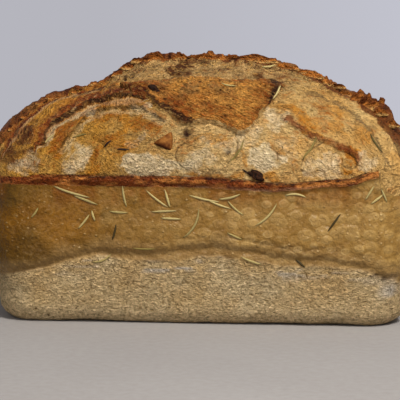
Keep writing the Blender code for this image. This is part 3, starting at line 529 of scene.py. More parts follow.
def relief(s, finest=0.0011):
    """How far the skin stands out, and how far it is drawn down over a tear, at each point of the net."""
    x, y, z, ragged, tear = (s[name] for name in ("x", "y", "z", "ragged", "tear"))
    rim_share = smooth(s["rim_along"] / 0.06) * smooth((1.0 - s["rim_along"]) / 0.06) * s["above"]
    tips = sum(tip * hump((x - at) / half) for at, tip, half in RIM_TIPS)
    lift = RIM_STEP * (1.0 + 0.30 * rough(x, 0 * y, 0 * z, 0.0065, 21, 2)) + tips
    out = 0.0008 * rough(x, y, z, 0.030, 3)
    out += torn_edge(s["rim"] + ragged, np.maximum(lift, 0.0012) * rim_share, 0.009, finest)
    out += 0.0009 * rough(x, y, z, 0.0035, 23, 3) * hump(s["rim"] / 0.007) * s["above"]
    out += torn_edge(s["rim"] + s["rim_band"] + ragged, 0.0016 * rim_share, 0.003, finest)
    down = 0.0012 * hump((s["rim"] + ragged) / finest) * rim_share
    steps = {"strip": (STRIP_STEP, 0.007), "fold": (FOLD_STEP, 0.006), "right": (RIGHT_STEP, 0.010)}
    for name, (step, fall) in steps.items():
        near = s[name + "_near"] * tear
        out += torn_edge(s[name], step * near, fall, finest)
        down += 0.0006 * hump(s[name] / finest) * near
    island = s["island"]
    upper = smooth((0.1365 - z) / 0.006) * tear
    curl = smooth(1.0 + island / finest) * (0.55 + 0.45 * np.exp(-np.maximum(island, 0.0) / 0.005))
    out += ISLAND_LIFT * upper * (curl - 0.3 * hump((island + 2 * finest) / finest))
    down += 0.0012 * upper * hump(island / finest)
    out += tear * dough_relief(s)
    crumple = 1.0 - 2.0 * np.abs(rough(x, y, z, 0.0046, 35, 3))
    out += tear * (0.00035 * crumple + 0.0004 * s["strands"] + 0.0003 * s["fibres"])
    flaky = smooth((s["up"] - 0.001) / 0.003) * (0.0004 * crumple + 0.0003 * s["fibres"])
    out += (1.0 - tear) * (0.0004 * rough(x, y, z, 0.009, 41) + flaky)
    out += wall_folds(s) - 0.0010 * hump(s["slit"] / 0.0010)
    out[z < 1e-6] = 0.0
    down[z < 1e-6] = 0.0
    return out, down


def dough_relief(s):
    """Bubbles, gas holes, creases and soft swells of the open dough."""
    x, y, z = s["x"], s["y"], s["z"]
    out = 0.0009 * rough(x, y, z, 0.012, 31)
    for middle_x, middle_z, radius, height in BUBBLES:
        r = np.hypot(x - middle_x, z - middle_z) / radius
        out += height * (np.clip(1.0 - r * r, 0.0, 1.0) ** 1.5 - 0.35 * hump((r - 1.02) / 0.10))
    for middle_x, middle_z, radius, depth in HOLES:
        out -= depth * hump(np.hypot(x - middle_x, z - middle_z) / radius) ** 2
    out -= 0.0007 * hump(s["crease"] / 0.0006)
    return out - 0.0008 * hump(s["grey"] / 0.0010) * (0.5 + 0.5 * rough(x, y, z, 0.004, 71))


def wall_folds(s):
    """The wall swells softly above the tin line, with two creases running along it."""
    x, height = s["x"], s["wall"]
    swell = 0.0015 * smooth(height / 0.005) * smooth((0.066 - s["z"]) / 0.02)
    upper_crease = 0.0008 * hump((height - 0.0065) / 0.0013) * smooth(0.5 + x / 0.1)
    lower_crease = 0.0007 * hump(height / 0.0014)
    return (swell - lower_crease - upper_crease) * smooth((s["z"] - 0.004) / 0.008)


def mix(a, b, share):
    """Colours a and b blended, share of b."""
    share = np.clip(share, 0.0, 1.0)[..., None]
    return a * (1.0 - share) + b * share


def tint(red, green, blue):
    """A colour named by its 0-255 screen values, as a linear colour."""
    value = np.array((red, green, blue)) / 255.0
    return np.where(value <= 0.04045, value / 12.92, ((value + 0.055) / 1.055) ** 2.4)


def painted(colour, *coats):
    """The colour under coats of paint, each three 0-255 screen values and the share that the coat covers."""
    for screen_values, share in coats:
        colour = mix(colour, tint(*screen_values), share)
    return colour


def crust_tones(s):
    """Soft colours of each kind of crust, the shares of their patches, and how far their grain is toasted."""
    x, y, z, up = s["x"], s["y"], s["z"], s["up"]
    s = {**s, **{name: rough(x, y, z, *kind) for name, kind in MOTTLES.items()}}
    # right runs from 0 at the left of the loaf to 1 at its right; the dough is darker toward the left, partly
    # painted shade.
    s["right"] = smooth(0.5 + (x + 0.010) / 0.10)
    s["under_rim"] = smooth((z - 0.126) / 0.006) * smooth((0.060 - x) / 0.02)
    s["fading"] = hump((z - 0.127) / 0.006) * hump((x + 0.002) / 0.026)
    s["browned_rim"] = (1.0 - smooth((s["rim"] - 0.005) / 0.008)) * s["above"]
    s["low"] = 1.0 - smooth((up - 0.003) / 0.034 + 0.6 * s["cloud"])
    shares, wall = patch_shares(s), wall_tones(s)
    tones = {
        "dough_tone": dough_tones(s), "islet_tone": islet_tones(s),
        "skin_tone": skin_tones(s, wall), "side_tone": side_tones(s, wall),
    }
    return {**tones, **shares, "toast": toasting(s, shares)}


def patch_shares(s):
    """How much of each kind of patch shows at each point, with edges bent by noise."""
    x, y, z = s["x"], s["y"], s["z"]
    bent_x = x + 0.0055 * rough(x, y, z, 0.010, 101, 3)
    bent_z = z + 0.0036 * rough(x, y, z, 0.007, 103, 3)
    wobble = 0.3 * s["mottle"] + 0.25 * s["strands"]
    kinds = {"orange": ORANGE_PATCHES, "white": WHITE_PATCHES, "brown": BROWN_AND_SHADE_PATCHES}
    shares = {name: patches(bent_x, bent_z, listed, wobble) for name, listed in kinds.items()}
    browned = s["under_rim"] * (0.34 + 0.45 * s["strands"] + 0.3 * s["mottle"])
    shares["brown"] = np.maximum(shares["brown"], browned)
    return shares


def toasting(s, shares):
    """How far the grain is toasted: by patch on the dough, most on the island, and evenly on the walls."""
    mottle = s["mottle"]
    toast = 0.30 + 0.06 * s["right"] + 0.35 * mottle + 0.2 * s["cloud"]
    toast = toast + 0.35 * shares["orange"] + 0.3 * shares["brown"] - 0.3 * shares["white"]
    on_island = smooth(1.0 + s["island"] / 0.0012) * s["tear"]
    toast = toast + on_island * (0.55 + 0.5 * mottle + 0.3 * s["fibres"] - 0.3 * s["fading"] - toast)
    on_skin = 0.55 + 0.5 * mottle + 0.2 * s["browned_rim"] - 0.2 * s["low"]
    toast = np.where(s["rim"] + s["rim_band"] > 0.0, on_skin, toast)
    return np.clip(np.where(s["up"] < -0.003, 0.36 + 0.3 * mottle, toast), 0.0, 1.0)


def dough_tones(s):
    """The open dough: golden left, cream right, pale middle; painted shade darkens its left and its holes."""
    x, z = s["x"], s["z"]
    # Painted shade in part: both tones are darker on the left than on the right.
    golden = mix(tint(186, 130, 42), tint(196, 149, 82), s["right"])
    cream = mix(tint(200, 154, 78), tint(210, 174, 112), s["right"])
    dough = painted(
        mix(golden, cream, 0.35 + 0.6 * s["cloud"] + 0.5 * s["strands"]),
        ((228, 192, 132), 0.55 * hump((x - 0.004) / 0.036) * smooth((0.122 - z) / 0.012)),
        ((212, 170, 110), 0.75 * s["under_rim"]),
    )
    # Painted shade in and around each gas hole.
    for hole_x, hole_z, radius, _ in HOLES:
        away = np.hypot(x - hole_x, z - hole_z) / radius
        dough = painted(dough, ((56, 28, 14), 1.2 * hump(away + 0.4 * s["speck"])))
    return dough


def islet_tones(s):
    """The island of old skin: orange brown, paler toward its top and scorched along its right edge."""
    pale = smooth((s["mottle"] + 0.5 * s["strands"] + 0.2) / 0.5) * s["fading"]
    scorched = hump((s["x"] - 0.0385) / 0.004) * hump((s["island"] - 0.001) / 0.0025)
    islet = mix(tint(226, 156, 70), tint(182, 106, 36), 0.45 + 0.6 * s["cloud"] + 0.3 * s["fibres"])
    return painted(islet, ((192, 150, 88), 0.7 * pale), ((48, 26, 18), 0.95 * scorched))


def skin_tones(s, wall):
    """The old skin: browned along the rim, red brown on the lip, and drawn into the wall's tone low down."""
    x, y, up, cloud = s["x"], s["y"], s["up"], s["cloud"]
    rightward = smooth((x - 0.030) / 0.03) * smooth((0.092 - x) / 0.01)
    rim_tone = mix(tint(132, 70, 24), tint(176, 124, 70), rightward)
    charred = smooth((s["mottle"] + 0.5 * s["speck"] - 0.05) / 0.3)
    skin = mix(tint(156, 106, 54), tint(118, 72, 34), 0.5 + 0.8 * cloud)
    skin = mix(skin, rim_tone, 0.8 * s["browned_rim"] * (0.8 + 0.5 * s["mottle"]))
    skin = mix(skin, tint(74, 32, 10), (0.85 - 0.4 * rightward) * s["browned_rim"] * charred)
    streaks = rough(x / 5.0, y, s["z"], 0.0016, 93, 2)
    pale = 0.6 * cloud + 0.7 * streaks + 0.5 * smooth((x - 0.03) / 0.04) + 0.15 * smooth((-x - 0.06) / 0.03)
    band = mix(tint(124, 54, 6), tint(196, 122, 54), smooth((pale + 0.05) / 0.4))
    on_lip = 1.0 - smooth((up - 0.002) / 0.002)
    on_lip = on_lip * smooth((-y - 0.040) / 0.006) * smooth((0.100 - x) / 0.004)
    skin = mix(skin, band, 0.95 * on_lip)
    skin = mix(skin, wall, 0.85 * s["low"] * (1.0 - on_lip))
    pink = hump((up + s["lip_low"] - 0.0006) / 0.0005) * hump((x - 0.022) / 0.036)
    return mix(skin, tint(216, 170, 130), 0.7 * pink * smooth((-y - 0.045) / 0.006))


def wall_tones(s):
    """The walls: golden, painted shade toward the left, amber below the lip, brown high up on the ends and
    back.
    """
    x, z, cloud = s["x"], s["z"], s["cloud"]
    amber = smooth((s["broad"] + 0.1) / 0.5) * smooth((-0.005 - x) / 0.03) * hump((z - 0.056) / 0.014)
    round_the_back = 1.0 - smooth((-s["y"] - 0.035) / 0.010)
    # Painted shade: the base tone and the first coat darken the wall toward the left, where the light falls
    # off.
    return painted(
        mix(tint(120, 84, 28), tint(152, 118, 62), 0.5 + x / 0.16 + 0.4 * cloud),
        ((82, 56, 10), 0.9 * smooth(-(x + 0.052) / 0.050 + 0.5 * cloud)),
        ((132, 84, 12), 0.5 * amber),
        ((122, 70, 12), 0.75 * smooth((cloud + 0.25) / 0.6) * smooth((z - 0.060) / 0.014)),
        ((140, 110, 66), 0.65 * (1.0 - smooth((s["wall"] - 0.004 + 0.003 * cloud) / 0.006))),
        ((134, 86, 38), 0.85 * round_the_back * smooth((s["up"] + 0.026 + 0.014 * cloud) / 0.024)),
    )


def side_tones(s, wall):
    """The sides: sandy and floury where they lay on the tin, the wall's tone above, painted shade in folds
    and slit.
    """
    x, z, cloud, mottle = s["x"], s["z"], s["cloud"], s["mottle"]
    flour = smooth((rough(x / 4.0, s["y"], z, 0.0030, 97, 3) - 0.05) / 0.35)
    flour = flour * hump((s["floury"] + 0.0030) / 0.0035) * hump(x / 0.075)
    sandy = painted(
        mix(tint(222, 194, 146), tint(210, 172, 114), 0.5 + 0.5 * cloud),
        ((208, 200, 190), 0.75 * flour),
        ((244, 214, 164), 0.6 * (1.0 - smooth(z / 0.018))),
    )
    # Painted shade: dark lines along two creases of the wall, at the top edge of the sandy band and under the
    # fold above it.
    shade_at_sand_edge = hump((s["floury"] - 0.0004) / 0.0010) * smooth(0.5 + mottle) * smooth(0.7 + x / 0.1)
    shade_under_fold = hump((s["wall"] - 0.0068 - 0.0010 * cloud) / 0.0009)
    shade_under_fold = shade_under_fold * smooth((x + 0.02) / 0.05) * smooth((0.078 - x) / 0.02)
    below_slit = hump(np.hypot((x - 0.1000) / 0.0045, (z - 0.0205) / 0.0050))
    return painted(
        mix(sandy, wall, smooth(s["floury"] / 0.0030 + 0.4)),
        ((96, 68, 32), 0.35 * shade_at_sand_edge),
        ((92, 66, 32), 0.5 * shade_under_fold),
        ((206, 198, 186), 0.8 * smooth((mottle + 0.3) / 0.4) * below_slit),
        # Painted shade in the slit in the wall.
        ((40, 24, 12), 0.95 * hump(s["slit"] / 0.0011)),
    )


def pushed(distance, share):
    """A signed distance, pushed away from zero where its line fades out."""
    away = distance + np.where(distance > 0.0, 0.02, -0.02) * (1.0 - np.clip(share, 0.0, 1.0))
    return np.where(share < 0.05, 0.02, away)


def crust_lines(s):
    """Distances, in metres, from the lines that the material draws, pushed away where a line fades out."""
    x, y, z, up, tear = s["x"], s["y"], s["z"], s["up"], s["tear"]
    facing = smooth((-y - 0.035) / 0.010)
    front = front_share(x, np.minimum(y, -0.052)) * facing
    # Dough burst out over the right corner, past the end of the lip
    burst = 0.013 * smooth((x - 0.0935) / 0.004) * smooth((-y - 0.012) / 0.012)
    burst = burst * (1.0 + 0.4 * rough(x, y, z, 0.008, 63, 2))
    wander = 0.0050 * (1.0 - facing) * rough(x, y, z, 0.012, 65, 3)
    lip_share = facing * smooth((0.100 - x) / 0.006) * smooth((x + 0.122) / 0.006)
    dark_edge = smooth((0.006 - x) / 0.012) * smooth((0.1285 - z) / 0.003) + hump((x - 0.037) / 0.006)
    lines = {
        "above": up - 0.0008 - 0.0013 * front + burst + wander,
        "lip": up + s["lip_low"] + 0.02 * (lip_share - 1.0),
        # brink: the line of the near-black stroke along the top of the lip, partly painted shadow behind it
        "brink": pushed(up - 0.0018, front),
        "rim": s["rim"] + s["rim_band"],
        "island_edge": pushed(s["island"], np.minimum(dark_edge, 1.0) * tear),
        "island": np.where(tear > 0.3, s["island"], -0.02),
        "outer": pushed(s["rim"] + 0.0075, smooth((-x - 0.045) / 0.012) * s["above"]),
        "crease": pushed(s["crease"], tear),
        "grey": pushed(s["grey"], tear),
        "tin": s["floury"],
    }
    for name in ("strip", "fold", "right"):
        lines[name] = pushed(s[name], 1.4 * s[name + "_near"] * tear)
    return lines


def skin_points(s, x, y, z):
    """The net with its relief."""
    out, down = relief(s)
    normal = net_normals(x, y, z)
    normal[-1] = (0.0, 0.0, 1.0)
    points = np.stack([x, y, z], -1) + normal * out[..., None]
    points[..., 2] -= down
    return points


def grid_faces(rows, count):
    """The quads of a net of rings, each ring closed on itself."""
    index = np.arange(rows * count).reshape(rows, count)
    ahead = np.roll(index, -1, axis=1)
    return np.stack([index[:-1], ahead[:-1], ahead[1:], index[1:]], -1).reshape(-1, 4)


def new_piece(name, points, faces, material, attributes=(), stands_for=()):
    """A mesh object from arrays, with its attributes by vertex, riding on the loaf's body."""
    mesh = bpy.data.meshes.new(name)
    mesh.from_pydata(points.reshape(-1, 3).tolist(), [], [list(face) for face in faces])
    for label, values in dict(attributes).items():
        flat = np.asarray(values, np.float32)
        if flat.shape[-1] == 3 and flat.size == 3 * len(mesh.vertices):
            layer = mesh.attributes.new(label, "FLOAT_COLOR", "POINT")
            rgba = np.concatenate([flat.reshape(-1, 3), np.ones((len(mesh.vertices), 1), np.float32)], 1)
            layer.data.foreach_set("color", rgba.ravel())
        else:
            layer = mesh.attributes.new(label, "FLOAT", "POINT")
            layer.data.foreach_set("value", flat.ravel())
    mesh.materials.append(material)
    mesh.shade_smooth()
    mesh.validate()
    piece = bpy.data.objects.new(name, mesh)
    bpy.context.scene.collection.objects.link(piece)
    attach(piece, "root")
    if stands_for:
        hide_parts(*stands_for)
    return piece


class Number:
    """A number that a material works out: Python's own signs build the nodes for it."""

    def __init__(self, recipe, socket):
        self.recipe = recipe
        self.socket = socket

    def maths(self, operation, *values):
        return self.recipe.number("ShaderNodeMath", {"operation": operation}, dict(enumerate(values)))

    def __add__(self, other):
        return self.maths("ADD", self, other)

    def __sub__(self, other):
        return self.maths("SUBTRACT", self, other)

    def __mul__(self, other):
        return self.maths("MULTIPLY", self, other)

    def __truediv__(self, other):
        return self.maths("DIVIDE", self, other)

    def __rsub__(self, other):
        return self.maths("SUBTRACT", other, self)

    __radd__ = __add__
    __rmul__ = __mul__

    def at_least(self, low):
        return self.maths("MAXIMUM", self, low)

    def clipped(self):
        """The number kept from 0 to 1."""
        return self.maths("MINIMUM", self.at_least(0.0), 1.0)

    def size(self):
        return self.maths("ABSOLUTE", self)

    def between(self, low, high):
        """0 below low, 1 above high, and an even rise from one to the other."""
        return ((self - low) / (high - low)).clipped()


class Recipe:
    """A material under construction."""

    def __init__(self, name):
        self.material = bpy.data.materials.new(name)
        self.material.use_nodes = True
        self.tree = self.material.node_tree
        self.shader = self.tree.nodes["Principled BSDF"]
        self.place = self.node("ShaderNodeTexCoord").outputs["Object"]

    def feed(self, socket, value):
        """Joins a number or a socket to this input, or sets the input to a plain value or a linear colour."""
        source = value.socket if isinstance(value, Number) else value
        if isinstance(source, bpy.types.NodeSocket):
            self.tree.links.new(source, socket)
        elif socket.type == "RGBA":
            socket.default_value = (*source, 1.0)
        else:
            socket.default_value = source

    def node(self, kind, settings=(), inputs=()):
        """A node of this kind, with its settings and its inputs, which are values, numbers or sockets."""
        made = self.tree.nodes.new(kind)
        for label, value in dict(settings).items():
            setattr(made, label, value)
        for label, value in dict(inputs).items():
            self.feed(made.inputs[label], value)
        return made

    def number(self, kind, settings=(), inputs=(), output=0):
        return Number(self, self.node(kind, settings, inputs).outputs[output])

    def attribute(self, name):
        """The number that each vertex carries under this name."""
        return self.number("ShaderNodeAttribute", {"attribute_name": name}, output="Fac")

    def vertex_colour(self, name):
        return self.node("ShaderNodeAttribute", {"attribute_name": name}).outputs["Color"]

    def coordinates(self):
        """The three object coordinates, in metres."""
        parts = self.node("ShaderNodeSeparateXYZ", {}, {0: self.place}).outputs
        return [Number(self, part) for part in parts]

    def plane(self, first, second):
        """A place in a flat pattern that lies along two numbers."""
        return self.node("ShaderNodeCombineXYZ", {}, {0: first, 1: second, 2: 0.0}).outputs[0]

    def stretched(self, sizes, place=None):
        """Object coordinates, or another place, divided by these sizes, in metres."""
        scale = tuple(1.0 / size for size in sizes)
        inputs = {0: place or self.place, 1: scale}
        return self.node("ShaderNodeVectorMath", {"operation": "MULTIPLY"}, inputs).outputs[0]

    def noise(self, sizes, detail=3.0, roughness=0.55, distortion=0.0, place=None):
        """Noise from 0 to 1 with lumps of these sizes, in metres."""
        shape = {"Scale": 1.0, "Detail": detail, "Roughness": roughness, "Distortion": distortion}
        return self.number("ShaderNodeTexNoise", {}, {"Vector": self.stretched(sizes, place), **shape})

    def grain(self, *pattern):
        """The same noise spread out around 0, mostly from -1 to 1."""
        return GRAIN_SPREAD * (self.noise(*pattern) - 0.5)

    def spots(self, sizes):
        """Distance to the nearest scattered point, in cells of these sizes, and that point's own chance."""
        inputs = {"Vector": self.stretched(sizes), "Scale": 1.0, "Randomness": 0.75}
        scatter = self.node("ShaderNodeTexVoronoi", {"feature": "F1"}, inputs).outputs
        chance = self.node("ShaderNodeSeparateColor", {}, {0: scatter["Color"]}).outputs[0]
        return Number(self, scatter["Distance"]), Number(self, chance)

    def blend(self, share, first, second, how="MIX"):
        """Two colours mixed by share. Each is a socket or a linear colour."""
        settings = {"data_type": "RGBA", "blend_type": how, "clamp_factor": True}
        return self.node("ShaderNodeMix", settings, {0: share, 6: first, 7: second}).outputs[2]

    def painted(self, colour, *coats):
        """The colour under coats of paint, each three 0-255 screen values and the share that it covers."""
        for screen_values, share in coats:
            colour = self.blend(share, colour, tint(*screen_values))
        return colour

    def shaded(self, colour, red, green, blue):
        """The colour with its red, green and blue multiplied by these numbers."""
        factors = self.node("ShaderNodeCombineColor", {}, {0: red, 1: green, 2: blue}).outputs[0]
        return self.blend(1.0, colour, factors, "MULTIPLY")

    def step(self, distance, width=0.0005):
        """0 where the distance is below zero and 1 above it."""
        return (distance / width + 0.5).clipped()

    def line(self, name, middle, half_width, wander):
        """1 on a stroke of this half-width at this distance from the named line, and 0 beside the stroke."""
        return (1.0 - (self.attribute(name) + wander - middle).size() / half_width).between(0.0, 0.6)

    def finish(self, colour, roughness, height, depth=0.001, **others):
        """Joins colour, roughness, a bump of that height in depths and any other inputs to the shader."""
        bump = self.node("ShaderNodeBump", {}, {"Height": height, "Distance": depth, "Strength": 1.0})
        inputs = {"Base Color": colour, "Roughness": roughness, "Normal": bump.outputs[0], **others}
        for label, value in inputs.items():
            self.feed(self.shader.inputs[label.replace("_", " ")], value)
        return self.material


def crust_grain(r):
    """The grain of the crust: even noise of several sizes, and strands and streaks drawn out one way."""
    g = SimpleNamespace()
    g.side, _, g.rise = r.coordinates()
    g.flow = r.plane(r.attribute("along"), r.attribute("across"))
    g.slant = r.plane(0.94 * g.side - 0.34 * g.rise, 0.34 * g.side + 0.94 * g.rise)
    g.fine = r.grain((0.0016, 0.0016, 0.0014), 2.0, 0.65)
    g.grit = r.grain((0.0036, 0.0036, 0.0027), 3.0, 0.62, 0.6)
    g.coarse = r.grain((0.007, 0.007, 0.007), 3.0)
    g.strands = r.grain((0.0070, 0.0018, 1.0), 3.0, 0.65, 0.8, g.flow)
    g.streaks = r.grain((0.0060, 0.0013, 1.0), 3.0, 0.65, 0.7, g.slant)
    g.sand = r.grain((0.0034, 0.0034, 0.0021), 3.0, 0.7, 1.4)
    g.pits = r.grain((0.0024, 0.0024, 0.0015), 2.0, 0.6, 1.0)
    g.ragged = 0.0011 * g.grit + 0.0004 * g.fine
    return g


def crust_kinds(r, g):
    """How much of each kind of crust shows: lip, island and other skin, open dough, matte and glazed wall."""
    k = SimpleNamespace()
    k.lip = r.step(r.attribute("lip") + 0.5 * g.ragged)
    k.above = r.step(r.attribute("above") + 0.3 * g.ragged)
    k.old_skin = r.step(r.attribute("rim") + g.ragged)
    k.island = r.step(r.attribute("island") + g.ragged) * k.above
    k.dough = k.above * (1.0 - k.old_skin) * (1.0 - k.island)
    k.skin = (k.lip + k.above - k.lip * k.above) * (1.0 - k.dough)
    above_tin = (r.attribute("tin") + 0.5 * g.ragged).between(-0.0008, 0.0010)
    k.matte = (1.0 - k.skin - k.dough).clipped() * (1.0 - above_tin)
    k.glaze = (1.0 - k.skin - k.dough - k.matte).clipped()
    # The left of the dough is torn more finely than the right
    k.lively = 1.35 - 0.30 * g.side.between(-0.030, 0.035)
    return k


def crust_weave(g, k):
    """Light and dark grain around 0, by the kind of crust."""
    weave = k.dough * k.lively * (0.40 * g.fine + 0.35 * g.grit + 0.8 * g.strands)
    weave = weave + k.skin * (0.5 * g.fine + 0.6 * g.grit + 1.4 * k.island * g.streaks)
    weave = weave + 0.8 * g.rise.between(0.121, 0.130) * k.dough * (g.streaks + 0.6 * g.grit)
    return weave + k.matte * (0.35 * g.fine + 0.9 * g.sand) + k.glaze * (0.15 * g.fine + 0.3 * g.grit)


def drawn_threads(r, g, k):
    """Painted shade in cracks, painted highlights on threads of drawn-out dough: narrow bands at two levels
    of a noise.
    """
    drawn = r.noise((0.0130, 0.0040, 1.0), 2.0, 0.5, 1.2, g.flow)
    torn = k.dough + 0.4 * k.island
    cracks = (1.0 - (drawn - 0.50).size() / 0.016).clipped() * (0.3 + 1.2 * g.coarse).clipped() * torn
    threads = (1.0 - (drawn - 0.58).size() / 0.014).clipped() * (0.3 - 1.2 * g.coarse).clipped() * torn
    return cracks, threads


def torn_specks(r, g, k):
    """Painted highlights on specks and painted shade in pores of finely torn dough: the highs and lows of one
    noise.
    """
    torn = k.dough * (k.lively - 0.85).clipped() + k.dough * g.rise.between(0.118, 0.128) + 0.75 * k.island
    first = r.noise((0.0030, 0.0010, 1.0), 2.0, 0.6, 0.6, g.flow)
    second = r.noise((0.0036, 0.0011, 1.0), 2.0, 0.6, 0.6, g.slant)
    specks = first + (second - first) * (0.5 + 3.0 * g.coarse).clipped()
    return specks.between(0.54, 0.60) * torn, (1.0 - specks.between(0.38, 0.45)) * torn


def crust_paint(r, g, k, weave):
    """The tones of the kinds of crust, under broken patches and strokes along their edges."""
    crumb = r.vertex_colour("dough_tone")
    darker, lighter = 0.5 * weave - 0.4 * g.coarse, 0.6 * g.coarse + 0.9 * g.strands - 0.5 * weave
    for name, broken, least, reach, screen_values in (
        ("orange", darker, 0.22, 0.9, (196, 128, 32)),
        # brown: browned crust, and painted shade at the far left of the dough and in the pocket under the
        # rim.
        ("brown", darker, 0.30, 0.95, (100, 58, 16)),
        ("white", lighter, 0.30, 0.72, (224, 203, 164)),
    ):
        share = (r.attribute(name) * 1.25 - least + broken).clipped()
        share = reach * share * r.attribute(name).between(0.0, 0.5)
        crumb = r.blend(share, crumb, tint(*screen_values))
    upper = r.blend(k.old_skin, crumb, r.vertex_colour("skin_tone"))
    upper = r.blend(k.island, upper, r.vertex_colour("islet_tone"))
    tone = r.blend(k.lip, r.vertex_colour("side_tone"), r.vertex_colour("skin_tone"))
    tone = r.blend(k.above, tone, upper)
    uneven = (0.9 + 0.5 * g.coarse + 0.3 * g.grit).clipped()
    for name, middle, half_width, wander, strength, breaks_up, screen_values in STROKES:
        stroke = strength * r.line(name, middle, half_width, wander * g.ragged)
        tone = r.blend(stroke * uneven if breaks_up else stroke, tone, tint(*screen_values))
    return tone


def wall_blisters(r, g, k):
    """Gas blisters of the walls: crowded, low domes with pale rings, and fine pale dots."""
    big, own_size = r.spots((0.0078, 0.0078, 0.0058))
    small, own_chance = r.spots((0.0030, 0.0030, 0.0024))
    b = SimpleNamespace(crowd=g.side.between(-0.060, 0.025) * g.rise.between(0.030, 0.040))
    b.inside = big + 0.10 * g.grit + 0.10 * g.coarse + 0.22 * own_size
    b.domes = (1.0 - b.inside.between(0.40, 0.62)) * b.crowd
    rings = (1.0 - (b.inside - 0.52).size().between(0.01, 0.06)) * (0.3 + 0.7 * b.crowd)
    rings = rings * (0.6 + g.coarse).clipped()
    b.dots = (1.0 - (small + 0.04 * g.fine).between(0.10, 0.28)) * own_chance.between(0.62, 0.70)
    b.pale = (0.20 * b.domes + 0.36 * rings + 0.50 * b.dots) * (0.6 + 0.8 * g.coarse).clipped() * k.glaze
    return b


def crust_material():
    """Crust: soft tones parted by ragged lines, with grain, pores and blisters by the kind of crust, painted
    shade and highlights.
    """
    r = Recipe("crust")
    g = crust_grain(r)
    k = crust_kinds(r, g)
    weave = crust_weave(g, k)
    cracks, threads = drawn_threads(r, g, k)
    highlight_flecks, pores = torn_specks(r, g, k)
    b = wall_blisters(r, g, k)
    # A near-black line along the top of the lip: partly its dark torn edge, partly painted shadow in the gap
    # behind it.
    brink = (0.6 + 1.2 * g.grit).clipped() * r.line("brink", 0.0, 0.0009, 0.5 * g.ragged)
    # Painted highlights on the threads and painted shade in the cracks.
    tone = r.painted(
        crust_paint(r, g, k, weave),
        ((230, 200, 146), 0.55 * threads),
        ((96, 60, 28), 0.65 * cracks),
        ((40, 18, 10), 0.95 * brink),
    )

    contrast = 0.62 * k.dough + 0.95 * k.skin + 0.85 * k.matte + 0.6 * k.glaze
    light = 1.0 + 0.3 * g.fine + weave * contrast + 0.16 * g.coarse * k.glaze
    colour = r.shaded(tone, light, 1.1 * light - 0.1, 1.3 * light - 0.3)
    toast = r.attribute("toast")
    brown = (weave * 1.6 + (toast - 0.5) * 1.8).clipped()
    pale = (weave * -1.6 - (toast - 0.2) * 1.4).clipped()
    toasted = r.blend(1.0, colour, (0.58, 0.40, 0.26), "MULTIPLY")
    colour = r.blend(brown * (k.dough + k.skin + 0.35 * k.matte + 0.35 * k.glaze), colour, toasted)
    colour = r.blend(pale * 0.7, colour, r.blend(1.0, colour, (1.36, 1.42, 1.48), "MULTIPLY"))
    between_blisters = k.glaze * b.crowd * b.inside.between(0.58, 0.8)
    # Painted shade in the pits of the matte sandy band, stronger toward the left.
    pitted = (0.95 - 0.4 * g.side.between(-0.08, 0.06)) * g.pits.between(0.25, 0.6) * k.matte
    colour = r.painted(
        colour,
        ((112, 74, 20), 0.30 * between_blisters),
        ((204, 172, 116), b.pale),
        ((108, 80, 44), pitted),
        # Painted highlights on the pale specks and painted shade in the pores.
        ((216, 162, 84), 0.45 * highlight_flecks.clipped()),
        ((92, 48, 18), 0.20 * pores.clipped()),
    )

    roughness = 0.33 * k.glaze + 0.9 * k.matte + 0.75 * k.dough + 0.60 * k.skin + 0.05 * g.fine
    rise = 1.25 * k.dough + 1.9 * k.skin + 1.9 * k.matte + 0.5 * k.glaze
    height = 0.6 * (highlight_flecks - pores) + weave * rise + 0.5 * threads - 0.8 * cracks
    height = height + k.glaze * (0.5 * g.coarse + 0.22 * b.domes + 0.15 * b.dots)
    height = height - 0.9 * k.matte * g.pits.between(0.3, 0.7)
    return r.finish(colour, roughness.clipped(), height, 0.0016, Specular_IOR_Level=0.18)


def rosemary_material():
    """Dried needles: the tone of each vertex, with fine grain."""
    r = Recipe("rosemary")
    grain = r.noise((0.0012, 0.0012, 0.0005), 3.0)
    light = 0.75 + 0.5 * grain
    colour = r.shaded(r.vertex_colour("tone"), light, light, light)
    return r.finish(colour, 0.6, grain * 0.15, Specular_IOR_Level=0.2)


def garlic_material():
    """Roasted garlic: toffee brown in patches, painted shade on its lower side, with fine wrinkles."""
    r = Recipe("roasted_garlic")
    folds = r.noise((0.0016, 0.003, 0.0006), 4.0, 0.6, 0.5)
    patchy = r.noise((0.003, 0.003, 0.003), 2.0)
    dark_patches, underside = patchy.between(0.35, 0.65), r.attribute("underside")
    colour = r.painted(tint(150, 96, 40), ((98, 52, 16), dark_patches), ((66, 30, 10), underside))
    return r.finish(colour, 0.6, folds * 0.5, Specular_IOR_Level=0.12)


def cinder_material():
    """Scorched bits: near-black, with brown specks."""
    r = Recipe("scorched")
    grain = r.noise((0.0010, 0.0010, 0.0010), 4.0, 0.7)
    colour = r.painted(tint(26, 14, 8), ((84, 46, 24), grain.between(0.45, 0.75)))
    return r.finish(colour, 0.7, grain * 0.8, Specular_IOR_Level=0.12)


def unit(vectors):
    """The vectors, each made 1 long."""
    return vectors / np.linalg.norm(vectors, axis=-1, keepdims=True)


def along_surface(facing):
    """The level and the steep direction along a surface that faces this way."""
    level = Vector((0.0, 0.0, 1.0)).cross(facing)
    level = level.normalized() if level.length > 0.05 else Vector((1.0, 0.0, 0.0))
    return level, facing.cross(level)


def joined(nets):
    """Several nets of points and faces as one."""
    points, faces, start = [], [], 0
    for own_points, own_faces in nets:
        points.append(own_points)
        faces += [[start + v for v in face] for face in own_faces]
        start += len(own_points)
    return np.concatenate(points), faces


